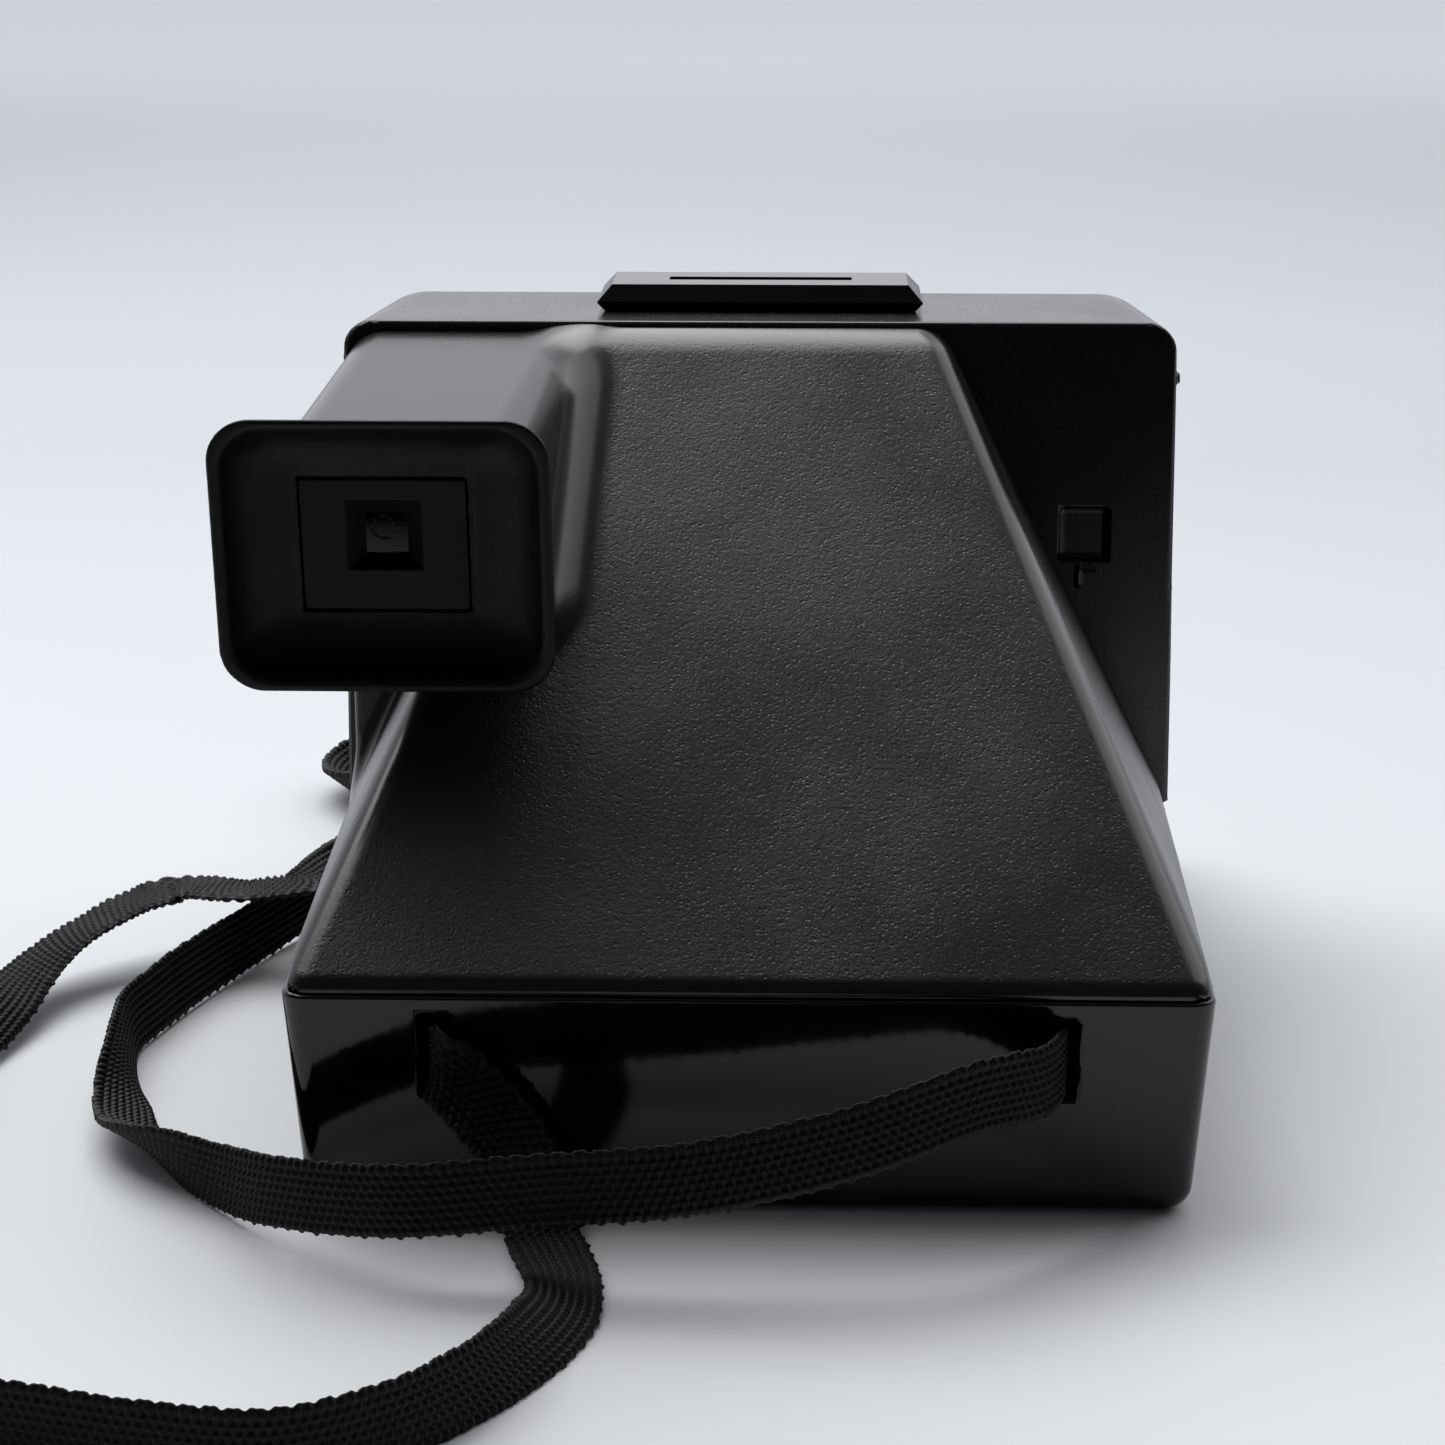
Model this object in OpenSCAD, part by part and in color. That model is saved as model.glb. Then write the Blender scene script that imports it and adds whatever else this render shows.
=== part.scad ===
// Box-form instant camera with a sloped mirror housing, a hooded finder and a neck strap.
// Millimetres. +X right seen from behind, +Y towards the lens, +Z up.
// The origin is the middle of the base's underside.

/* [Base] */
// Width of the base at its rear top edge
base_w = 112; // [111:1:140]
// Depth of the base, rear face to film door
base_d = 142; // [141:1:175]
// Height of the base
base_h = 28.5; // [28:0.5:35]
// How much wider each side of the base is at the lens housing than at the rear
flare = 2; // [1:0.5:4]
// How far the walls of the base lean in at the bottom
base_draft = 2; // [1:0.25:2.5]
// Rounding of the base's bottom edge and corners
base_r = 3; // [2:0.5:4]
// Wall of the moulded shells
wall = 2.2; // [1.8:0.1:2.7]

/* [Lens housing] */
// Height of the lens housing above the base
house_h = 69.3; // [65:0.1:84]
// Depth of the lens housing where it stands on the base
house_d = 48; // [44:1:58]
// How far the housing stands proud of the base on each side
house_over = 0.5; // [0:0.1:2]
// Shelf of the film door in front of the housing
shelf_d = 14; // [14:0.5:17]
// Lean of the front panel, in degrees
front_lean = 9.9; // [8:0.1:12]
// Rounding of the housing's rear outline
house_r = 6; // [4:0.5:8]
// Rounding of the housing's front top edge
crown_r = 10; // [7:0.5:12]

/* [Mirror housing] */
// Half width of the sloped cover at its crest
crest_hw = 24.5; // [22:0.5:30]
// How far the crest lies under the top of the lens housing
crest_drop = 2; // [1:0.5:4]
// Flat at the crest, in front of the slope
crest_flat = 2.5; // [1:0.5:5]
// Rounding of the cover's edges
cover_r = 5; // [4:0.5:7]

/* [Finder] */
// Distance of the finder's axis from the housing's left side
finder_in = 14; // [13:0.5:15]
// Distance of the eyecup's seat in front of the base's rear edge
eye_in = 26; // [20:1:30]
// Height of the eyepiece above the base
eye_up = 49.6; // [46:0.1:52]
// Lean of the eyepiece, in degrees
eye_tilt = 8; // [4:1:12]
// Width and height of the finder hood where the eyecup seats
hood_w = 33; // [30:0.5:34]
hood_h = 27; // [25:0.5:29]
// Width of the eyecup's rim
cup_w = 41; // [38:0.5:44]
// Height of the eyecup's rim
cup_h = 34.5; // [32:0.5:37]
// Depth of the eyecup behind its seat
cup_d = 8; // [6:0.5:10]

/* [Flash socket] */
// Width of the flash socket
flash_w = 45.8; // [40:0.5:52]
// Depth of the flash socket
flash_d = 16.5; // [14:0.5:18]
// Height of the flash socket above the housing
flash_h = 3.6; // [3:0.1:5]
// Length of the slot that takes the flash bar
flash_slot_l = 26; // [24:0.5:30]
// Width of that slot
flash_slot_w = 3; // [2:0.1:3.5]

/* [Film] */
// Width of the film cassette
pack_w = 92; // [80:0.5:92]
// Length of the film cassette
pack_l = 116; // [96:1:116]
// Thickness of the film cassette
pack_t = 17.4; // [15:0.1:17.4]
// Side of the square picture
picture = 79; // [66:1:79]
// Clearance round the cassette
pack_gap = 0.4; // [0.2:0.1:0.6]

/* [Rollers] */
// Radius of the two film rollers
roller_r = 4; // [3.4:0.1:4.2]
// Gap between the rollers
nip = 0.3; // [0.2:0.05:0.4]
// Radius of the roller journals
journal_r = 1.8; // [1.2:0.1:2]
// Running clearance of shafts, pins and buttons, on the radius
run = 0.05; // [0.02:0.01:0.1]

/* [Lens and shutter] */
// Height of the lens axis up the front panel
lens_z = 36; // [34:0.5:40]
// Outer radius of the lens ring
ring_r = 18.5; // [17:0.5:20]
// Radius of the shutter's aperture
aperture_r = 3.3; // [2:0.1:3.3]
// Radius of the shutter button
button_r = 5; // [3.5:0.1:6]
// Travel of the shutter button
button_travel = 2; // [1:0.1:2]

/* [Strap] */
// Width of the woven strap
strap_w = 9.5; // [8:0.5:10]
// Thickness of the strap
strap_t = 1.3; // [1:0.1:1.6]
// Distance of each strap slot from the middle
slot_x = 38; // [34:0.5:41]
// Width of a strap slot
slot_w = 3.6; // [3:0.1:4]
// Clearance of the slot above and below the strap
slot_gap = 0.5; // [0.3:0.1:0.8]

/* [Hidden] */
$fn = 48;
eps = 0.01;

// Places that follow from the sizes above
rear_y = -base_d / 2;
door_y = base_d / 2;
front_y = door_y - shelf_d;
house_y = front_y - house_d;
top_z = base_h + house_h;
base_hw = base_w / 2;
side_hw = base_hw + flare;
house_hw = side_hw + house_over;
crest_z = top_z - crest_drop;
crest_y = house_y - crest_flat;
slope_a = atan((crest_z - base_h) / (crest_y - rear_y));
finder_x = finder_in - house_hw;
eye_y = rear_y + eye_in;
eye_z = base_h + eye_up;
cavity_hw = side_hw - base_draft - wall;
cavity_rear_hw = base_hw - base_draft - wall;
cavity_rear_y = rear_y + base_draft + wall;

// Film chamber
chamber_wall = 1.4;
chamber_in = pack_w / 2 + pack_gap;
chamber_hw = chamber_in + chamber_wall;
chamber_z0 = wall + chamber_wall;
chamber_z1 = chamber_z0 + pack_t + 0.6;
chamber_top = chamber_z1 + 1.6;
chamber_rear = front_y - pack_l - 1;
picture_y = (front_y + chamber_rear) / 2 - 10;

// Rollers and gear train; every gear axis lies along X
roller_y = front_y + 5;
lower_z = 12.5;
upper_z = lower_z + 2 * roller_r + nip;
frame_in = pack_w / 2;
frame_t = 2;
gear_t = 3;
fine_t = 1.5;
gear_gap = 0.3;
plate_room = 0.8;
wall_room = 0.4;
gear_x = min(chamber_hw + plate_room, cavity_hw - wall_room - fine_t - gear_gap - gear_t);
fine_x = gear_x + gear_t + gear_gap;
centre_slack = 0.05;
gear_m = (2 * roller_r + nip - centre_slack) / 11;
fine_m = 0.5;
roller_teeth = 11;
idler_teeth = 20;
small_teeth = 12;
large_teeth = 36;
pinion_teeth = 10;
idler_reach = gear_m * (roller_teeth + idler_teeth) / 2 + centre_slack;
idler_y = roller_y - idler_reach;
idler_z = upper_z;
reduction_a = 125;
reduction_reach = gear_m * (idler_teeth + small_teeth) / 2 + centre_slack;
reduction_y = idler_y + reduction_reach * cos(reduction_a);
reduction_z = idler_z + reduction_reach * sin(reduction_a);
pinion_a = 165;
pinion_reach = fine_m * (large_teeth + pinion_teeth) / 2 + centre_slack;
motor_y = reduction_y + pinion_reach * cos(pinion_a);
motor_z = reduction_z + pinion_reach * sin(pinion_a);
stud_r = 1.2;
motor_r = 8;
motor_l = 24;
plate_x = chamber_in;

// Door
hinge_r = 1.2;
knuckle_r = 2.8;
hinge_y = door_y - knuckle_r;
hinge_z = knuckle_r + 0.4;
door_hw = cavity_hw - 0.3;
door_t = 2.2;
door_top = base_h - 0.3;
shelf_y = front_y + 1.6;

// Shutter, measured behind the front panel
shutter_y = -20;
blade_t = 0.4;
blade_hh = 6.1;
blade_gap = 0.2;
blade_run = 7.25;
beam_x = 26;
beam_r = 14;
beam_a = 15;
beam_pin_r = 0.8;
panel_t = 3.6;
board_y = -8;

// Front panel pieces, across and up the panel
button_x = 40;
button_z = 22;
wheel_x = 30;
wheel_z = 47;
cell_drop = 5.4;
window_x = finder_x + 8;
window_z = 49;
window_w = 20;
window_h = 13;

// Case screws
screw_rear_y = rear_y + 13;
screw_front_y = house_y + 7;
screw_r = 1.2;
boss_r = 2.6;
screw_in = 3.4;
screw_x = base_hw - base_draft - screw_in;

// Strap anchorage
slot_h = strap_w + 2 * slot_gap;
slot_z = base_h - 2.4 - slot_h / 2;
anchor_y = cavity_rear_y + 3.3;
pin_r = 1;

// Route of the strap: x, y, z and the lean of its width from upright, in degrees
strap_out = [
  [38, -64.6, 20.6, 0], [38, -70, 20.6, 0], [35.5, -75, 20.5, 0], [28, -77.5, 19.4, 0],
  [12, -78.5, 13.9, 0], [-6, -78.5, 9.4, 0], [-25, -78, 6.9, 0], [-42, -77, 5.2, 0],
  [-55, -75.5, 4.9, 0], [-66, -71, 4.9, 15], [-73.5, -64, 3.6, 55], [-80, -54, 1.5, 85],
  [-84.5, -41, 1, 90], [-88, -28, 2.4, 120], [-88.5, -18.5, 4.7, 168], [-85, -9, 4.9, 180],
  [-79.5, 6, 4.9, 180], [-73, 23, 4.9, 180], [-66.5, 42, 5.4, 180], [-61.8, 58, 6.5, 180],
  [-60.5, 74, 6.3, 180], [-61.5, 90, 4.9, 180], [-67, 101, 4.9, 180], [-75, 107, 4.9, 180],
  [-78.5, 112.5, 4.9, 180], [-74, 119, 4.9, 180], [-65, 119, 4.9, 180], [-58.5, 111, 4.9, 180],
  [-56.5, 100, 4.9, 180], [-56.5, 89, 4.8, 170], [-58.5, 77, 2.6, 120], [-63, 65.5, 0.9, 90],
  [-71, 55.5, 0.9, 90], [-81, 49.5, 1, 85], [-91, 42, 2.6, 50], [-97, 30, 4.8, 8],
  [-102, 12, 4.9, 0], [-106, -8, 4.9, 0], [-110, -26, 4.9, 0], [-118, -42, 4.9, 0], [-132, -50, 4.9, 0]
];
strap_back = [
  [-131, -125, 4.2, 35], [-119, -121, 0.9, 90], [-106, -122, 1.2, 80], [-92, -128, 4.5, 15],
  [-76, -133, 4.9, 0], [-61, -137, 4.9, 0], [-47, -138.5, 4.9, 0], [-35, -133.5, 4.9, 0],
  [-26, -124.5, 4.9, -5], [-20.5, -113, 4.9, -25], [-20, -101, 5.4, -65], [-23, -89, 8.6, -100],
  [-29.5, -80, 14.6, -140], [-36, -74.5, 19.6, -172], [-38, -70, 20.6, -180], [-38, -64.6, 20.6, -180]
];
coil_x = -150;
coil_y = -88;
coil_r0 = 38;
coil_r1 = 32.5;
coil_steps = 19;
strap_coil = [
  for (i = [0:coil_steps])
    let (a = 90 + 540 * i / coil_steps - 8, r = coil_r0 + (coil_r1 - coil_r0) * i / coil_steps)
    let (over = max(0, 1 - abs(a - 318) / 32))
      [coil_x + r * cos(a), coil_y + r * sin(a), 4.9 + 1.8 * over, 0]
];
strap_route = concat(strap_out, strap_coil, strap_back);

// Frames: the leaning front panel, the slope, the eyepiece, and a shaft along X
module on_front(x = 0, z = 0) {
  translate([0, front_y, base_h]) rotate([front_lean, 0, 0]) translate([x, 0, z]) children();
}
module on_slope() {
  translate([0, rear_y, base_h]) rotate([slope_a, 0, 0]) children();
}
module on_eye() {
  translate([finder_x, eye_y, eye_z]) rotate([eye_tilt, 0, 0]) children();
}
module along_x(x, y, z) {
  translate([x, y, z]) rotate([90, 0, 90]) children();
}
// A cylinder that runs back from y0 to y1 along the front panel's normal
module along_y(y0, y1, r, r2 = -1) {
  translate([0, y0, 0]) rotate([-90, 0, 0]) cylinder(h = y1 - y0, r1 = r, r2 = r2 < 0 ? r : r2);
}
module box(x, y, z) {
  translate([x[0], y[0], z[0]]) cube([x[1] - x[0], y[1] - y[0], z[1] - z[0]]);
}
module both_sides() {
  children();
  mirror([1, 0, 0]) children();
}

// Flat plate with rounded corners, standing across Y
module rounded_plate(w, h, r, y0, y1, sides = 32) {
  translate([0, y1, 0]) rotate([90, 0, 0]) linear_extrude(y1 - y0) union() {
    square([w - 2 * r, h], center = true);
    square([w, h - 2 * r], center = true);
    for (x = [-1, 1])
      for (z = [-1, 1])
        translate([x * (w / 2 - r), z * (h / 2 - r)]) circle(r, $fn = sides);
  }
}

// Involute gears
function involute(a) = tan(a) * 180 / PI - a;
function flank_angle(n, m, r) =
  let (base_radius = n * m / 2 * cos(20), a = r > base_radius ? acos(base_radius / r) : 0)
    90 / n - gear_thin * 180 / (PI * n * m) + involute(20) - involute(a);
function polar(r, a) = [r * cos(a), r * sin(a)];
function mesh_phase(phase, dir, n, other_n) = dir + 180 + (180 - (phase - dir) * n) / other_n;
gear_thin = 0.16;
module gear_2d(n, m, phase) {
  root_r = n * m / 2 - 1.2 * m;
  tip_r = n * m / 2 + 0.85 * m;
  radii = [for (i = [0:4]) root_r + (tip_r - root_r) * i / 4];
  polygon([
    for (t = [0:n - 1])
      let (a = phase + t * 360 / n)
        each concat(
          [for (i = [0:4]) polar(radii[i], a - flank_angle(n, m, radii[i]))],
          [for (i = [4:-1:0]) polar(radii[i], a + flank_angle(n, m, radii[i]))])
  ]);
}
module gear(n, m, thick, bore_r, phase) {
  difference() {
    linear_extrude(thick) gear_2d(n, m, phase);
    translate([0, 0, -1]) cylinder(h = thick + 2, r = bore_r);
  }
}
upper_phase = 180;
idler_phase = mesh_phase(upper_phase, 180, roller_teeth, idler_teeth);
small_phase = mesh_phase(idler_phase, reduction_a, idler_teeth, small_teeth);
large_phase = pinion_a;
pinion_phase = mesh_phase(large_phase, pinion_a, large_teeth, pinion_teeth);
lower_phase = mesh_phase(upper_phase, -90, roller_teeth, roller_teeth);

// A closed tube through rings of points
module skin(rings) {
  sides = len(rings[0]);
  last = len(rings) - 1;
  points = [for (ring = rings) each ring];
  walls = [
    for (i = [0:last - 1])
      for (j = [0:sides - 1])
        let (k = (j + 1) % sides)
          each [
            [i * sides + j, i * sides + k, (i + 1) * sides + k],
            [i * sides + j, (i + 1) * sides + k, (i + 1) * sides + j]
          ]
  ];
  near_cap = [for (j = [sides - 1:-1:0]) j];
  far_cap = [for (j = [0:sides - 1]) last * sides + j];
  polyhedron(points, concat(walls, [near_cap, far_cap]));
}
function unit(v) = v / norm(v);
function xyz(p) = [p[0], p[1], p[2]];
function heading(path, i) = unit(xyz(path[min(i + 1, len(path) - 1)]) - xyz(path[max(i - 1, 0)]));

// Ribbon rings: the width leans from upright by the route's fourth number
ribbon = [
  [0.5, 0.27], [0.46, 0.5], [-0.46, 0.5], [-0.5, 0.27],
  [-0.5, -0.27], [-0.46, -0.5], [0.46, -0.5], [0.5, -0.27]
];
function ribbon_ring(path, i) =
  let (t = heading(path, i), side = unit(cross(t, [0, 0, 1])), up = cross(side, t), a = path[i][3])
  let (wide = cos(a) * up + sin(a) * side, thin = cross(t, wide))
    [for (q = ribbon) xyz(path[i]) + q[0] * strap_w * wide + q[1] * strap_t * thin];

// The rounded, drafted block that the base is moulded as
module base_form() {
  plan = [[base_hw, rear_y], [side_hw, house_y], [side_hw, door_y]];
  hull() both_sides() for (p = plan) {
    lean_y = p[1] == rear_y ? base_draft : 0;
    translate([p[0] - base_draft - base_r, p[1] + (p[1] > 0 ? -base_r : base_r + lean_y), base_r])
      sphere(base_r, $fn = 12);
    translate([p[0] - base_r, p[1] + (p[1] > 0 ? -base_r : base_r), base_h - 1])
      cylinder(h = 1, r = base_r, $fn = 12);
  }
}

module base_shell() {
  cavity = [[cavity_rear_hw, cavity_rear_y], [cavity_hw, house_y], [cavity_hw, door_y + 1]];
  floor_end = hinge_y - knuckle_r - 0.4;
  color("#16161a") difference() {
    union() {
      difference() {
        base_form();
        translate([0, 0, wall]) linear_extrude(base_h)
          polygon(concat(cavity, [for (i = [2:-1:0]) [-cavity[i][0], cavity[i][1]]]));
        box([-cavity_hw, cavity_hw], [floor_end, door_y + 1], [-1, base_h]);
      }
      both_sides() {
        for (y = [screw_rear_y, screw_front_y])
          translate([screw_x, y, 0.4]) cylinder(h = base_h - 0.4, r = boss_r);
        for (z = [[slot_z - slot_h / 2 - 3.2, slot_z - slot_h / 2 - 0.9], [base_h - 1.9, base_h]])
          box([slot_x - 3, slot_x + 3], [cavity_rear_y - 1, anchor_y + 1.6], z);
      }
    }
    both_sides() {
      for (y = [screw_rear_y, screw_front_y])
        translate([screw_x, y, -1]) {
          cylinder(h = base_h + 2, r = screw_r + run);
          cylinder(h = 19, r = 2.1);
        }
      box([slot_x - slot_w / 2, slot_x + slot_w / 2], [rear_y - 1, cavity_rear_y + eps],
        [slot_z - slot_h / 2, slot_z + slot_h / 2]);
      translate([slot_x, anchor_y, slot_z - slot_h / 2 - 2.4]) cylinder(h = 20, r = pin_r + 0.02);
      along_x(cavity_hw - 1, hinge_y, hinge_z) cylinder(h = 2.6, r = hinge_r + 0.02);
    }
    latch_slot(0.3);
  }
}

// Where the door latch's thumb piece passes the left wall
latch_y = front_y - 5;
latch_z = 17;
latch_travel = 4;
module latch_slot(gap) {
  box([-side_hw - 2, -cavity_hw + 1], [latch_y - 3 - gap, latch_y + 3 + gap],
    [latch_z - 2 - gap, latch_z + 2 + latch_travel + gap]);
}

// The sloped cover's outer surface moved in by d: its edges are rounded about fixed centres
slope_n = [0, -sin(slope_a), cos(slope_a)];
flank_n = unit(cross([flare, house_y - rear_y, 0], [crest_hw - base_hw, crest_y - rear_y, crest_z - base_h]));
function slope_y(z) = rear_y + (z - base_h) / tan(slope_a) + cover_r / sin(slope_a);
function flank_x(y, z) =
  (flank_n * [base_hw, rear_y, base_h] - cover_r - flank_n[1] * y - flank_n[2] * z) / flank_n[0];
module slope_form(d) {
  foot_z = base_h - 8;
  head_z = crest_z - cover_r;
  far_y = house_y + 8;
  hull() both_sides()
    for (p = [[slope_y(foot_z), foot_z], [slope_y(head_z), head_z], [far_y, foot_z], [far_y, head_z]])
      translate([flank_x(p[0], p[1]), p[0], p[1]]) sphere(cover_r - d, $fn = 12);
}
// The finder's hood, moved in by d
hood_in = 1.5;
module hood_form(d, from_y = 0) {
  front_x0 = -house_hw + hood_in;
  front_x1 = finder_x + hood_w / 2 + 3.5;
  front_z0 = eye_z - hood_h / 2 - 2;
  front_z1 = crest_z;
  r = 5 - d;
  hull() {
    on_eye() rounded_plate(hood_w - 2 * d, hood_h - 2 * d, r, from_y, 4, 12);
    translate([(front_x0 + front_x1) / 2, 0, (front_z0 + front_z1) / 2])
      rounded_plate(front_x1 - front_x0 - 2 * d, front_z1 - front_z0 - 2 * d, r, house_y - 2, house_y + 2, 12);
  }
}
web_d = 6;
module slope_cover() {
  web_x = [-house_hw + hood_in, finder_x + hood_w / 2];
  color("#2b2829") difference() {
    union() {
      intersection() {
        slope_form(0);
        box([-100, 100], [rear_y - 1, house_y], [base_h, top_z]);
      }
      intersection() {
        hood_form(0);
        box([-100, 100], [eye_y - 9, house_y], [base_h, top_z]);
      }
      box(web_x, [house_y - web_d, house_y], [base_h, eye_z]);
      both_sides() intersection() {
        translate([screw_x, screw_rear_y, base_h]) cylinder(h = 12, r = boss_r);
        slope_form(0);
      }
    }
    difference() {
      intersection() {
        slope_form(wall);
        box([-100, 100], [rear_y, house_y + 1], [base_h - 1, top_z]);
      }
      both_sides() translate([screw_x, screw_rear_y, base_h]) cylinder(h = 5, r = boss_r);
    }
    hood_form(wall, -5);
    box([web_x[0] + wall, web_x[1]], [house_y - web_d + wall, house_y + 1], [base_h - 1, eye_z]);
    both_sides() translate([screw_x, screw_rear_y, base_h - 1]) cylinder(h = 5.2, r = screw_r + 0.02);
  }
}

// The lens housing's outer surface moved in by d
module house_form(d, back, drop) {
  crown_up = (top_z - crown_r - base_h + crown_r * sin(front_lean)) / cos(front_lean);
  crown_y = front_y - crown_r * cos(front_lean) - crown_up * sin(front_lean);
  edge_r = 4;
  foot_y = front_y - edge_r / cos(front_lean);
  hull() both_sides() {
    translate([house_hw - house_r, back, top_z - house_r])
      rotate([-90, 0, 0]) cylinder(h = 1, r = house_r - d, $fn = 12);
    translate([house_hw - d - 1, back, base_h - drop]) cube([1, 1, 1]);
    translate([house_hw - crown_r, crown_y, top_z - crown_r]) sphere(crown_r - d, $fn = 16);
    translate([house_hw - edge_r, foot_y + drop * tan(front_lean), base_h - drop])
      cylinder(h = 1, r = edge_r - d, $fn = 8);
  }
}
panel_w = 2 * (house_hw - crown_r);
panel_z = [5, 58];
module front_housing() {
  light_hw = flank_x(house_y, base_h + 4) - 3;
  light_top = flank_x(house_y, crest_z - 8);
  color("#111114") difference() {
    union() {
      difference() {
        house_form(0, house_y, 0);
        difference() {
          house_form(wall, house_y + wall, 2);
          both_sides() box([screw_x - boss_r - 0.4, house_hw], [screw_front_y - 3, screw_front_y + 3],
            [base_h - 3, base_h + 10]);
        }
      }
    }
    on_front() translate([0, -wall / 2, (panel_z[0] + panel_z[1]) / 2])
      rounded_plate(panel_w, panel_z[1] - panel_z[0], 3, -wall, wall);
    translate([0, house_y + wall + 1, 0]) rotate([90, 0, 0]) linear_extrude(wall + 2)
      polygon([[-light_hw, base_h + 3], [light_hw, base_h + 3], [light_top, crest_z - 8], [-light_top, crest_z - 8]]);
    translate([finder_x + 3, 0, eye_z + 1.5])
      rounded_plate(hood_w - 4, hood_h - 1, 2, house_y - 1, house_y + wall + 1);
    box([-flash_slot_l / 2 - 3, flash_slot_l / 2 + 3], [flash_y - 3.4, flash_y + 3.4], [top_z - wall - 1, top_z + 1]);
    translate([house_hw - 12.8, 0, base_h + 39.5]) rounded_plate(6.6, 7.4, 0.4, house_y - 1, house_y + 1.2);
    both_sides() translate([screw_x, screw_front_y, base_h - 1]) cylinder(h = 9, r = screw_r + 0.02);
  }
}

// Front panel: a plate in the housing's opening with a flange behind the wall
module front_panel() {
  mid_z = (panel_z[0] + panel_z[1]) / 2;
  tall = panel_z[1] - panel_z[0];
  color("#1c1c20") union() {
    on_front() difference() {
      union() {
        translate([0, 0, mid_z]) rounded_plate(panel_w - 0.4, tall - 0.4, 2.8, -wall, -0.4);
        translate([0, 0, mid_z]) rounded_plate(panel_w - 0.4, tall + 3, 3, -panel_t, -wall);
        for (p = board_posts) translate([p[0], 0, p[1]]) along_y(board_y, -panel_t, 1.4);
        translate([wheel_x, 0, wheel_z]) along_y(-1, 2.6, 1.5);
      }
      translate([0, 0, lens_z]) along_y(-5, 1, ring_r - 2.5 + 0.02);
      translate([button_x, 0, button_z]) along_y(-5, 1, button_r + run);
      translate([wheel_x, 0, wheel_z - cell_drop]) along_y(-5, 1, 2.6);
      translate([window_x, 0, window_z]) rounded_plate(window_w + 0.1, window_h + 0.1, 1.5, -5, 1);
    }
  }
}
board_posts = [[20, 21], [47, 31], [20, 56], [46, 55.5]];

// Flash socket: a low block on the roof with a body that hangs through it
flash_y = house_y + 8.7 + flash_d / 2;
module flash_socket() {
  bevel = 2;
  color("#131316") difference() {
    union() {
      hull() {
        translate([0, flash_y, top_z]) linear_extrude(0.2) square([flash_w - 2, flash_d - 2], center = true);
        translate([0, flash_y, top_z + 1.2]) linear_extrude(0.2) square([flash_w, flash_d], center = true);
        translate([0, flash_y, top_z + flash_h - 0.2]) linear_extrude(0.2)
          square([flash_w - 2 * bevel, flash_d - 2 * bevel], center = true);
      }
      box([-flash_slot_l / 2 - 2.8, flash_slot_l / 2 + 2.8], [flash_y - 3.2, flash_y + 3.2], [top_z - 12, top_z + 1]);
    }
    box([-flash_slot_l / 2, flash_slot_l / 2], [flash_y - flash_slot_w / 2, flash_y + flash_slot_w / 2],
      [top_z - 10, top_z + flash_h + 1]);
  }
}
module flash_contacts() {
  count = 7;
  pitch = 3.2;
  color("#c9a24a") for (i = [0:count - 1])
    box([(i - 3) * pitch - 0.5, (i - 3) * pitch + 0.5], [flash_y - flash_slot_w / 2, flash_y - flash_slot_w / 2 + 0.3],
      [top_z - 9.8, top_z - 1.5]);
}

// Finder
module eyecup() {
  rim_r = 5.5;
  color("#0f0f10") on_eye() difference() {
    hull() {
      rounded_plate(cup_w, cup_h, rim_r, -cup_d, -cup_d + 1);
      rounded_plate(hood_w + 3, hood_h + 3, 6, -2, 2.5);
    }
    hull() {
      rounded_plate(cup_w - 2, cup_h - 2, rim_r - 1, -cup_d - 1, -cup_d + 0.5);
      rounded_plate(hood_w - 4, hood_h - 3, 3, -1.6, -1.5);
    }
    rotate([-eye_tilt, 0, 0]) translate([-finder_x, -eye_y, -eye_z]) hood_form(-0.05);
    rounded_plate(hood_w - 9, hood_h - 6, 1, -3, 1);
  }
}
plate_w = 21;
plate_h = 18.4;
sight = 5.6;
module eyepiece_plate() {
  seat_w = hood_w - 2 * wall;
  seat_h = hood_h - 2 * wall;
  color("#1a1716") on_eye() difference() {
    union() {
      rounded_plate(seat_w - 0.1, seat_h - 0.1, 3.4, 0, 2);
      rounded_plate(plate_w, plate_h, 0.5, -1.2, 0);
    }
    hull() {
      rounded_plate(9.8, 9.8, 0.2, -1.3, -1.2);
      rounded_plate(sight, sight, 0.2, 0.6, 0.7);
    }
    rounded_plate(sight, sight, 0.2, 0, 3);
  }
}
module eyepiece_lens() {
  color("#8fa0a8") on_eye() rounded_plate(9, 9, 0.5, 2, 3.6);
}
module finder_tunnel() {
  color("#0c0c0d") difference() {
    tunnel_form(0);
    tunnel_form(1);
  }
}
module tunnel_form(d) {
  hull() {
    on_eye() rounded_plate(22 - 2 * d, 18 - 2 * d, 1.2, 4 - d, 4.5);
    on_front(window_x, window_z)
      rounded_plate(window_w + 2 - 2 * d, window_h + 2 - 2 * d, 1.2, -panel_t - 0.5, -panel_t + d);
  }
}
module finder_lens() {
  color("#8fa0a8") on_front(window_x, window_z) rounded_plate(window_w, window_h, 1.4, -panel_t, -0.9);
}

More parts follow.
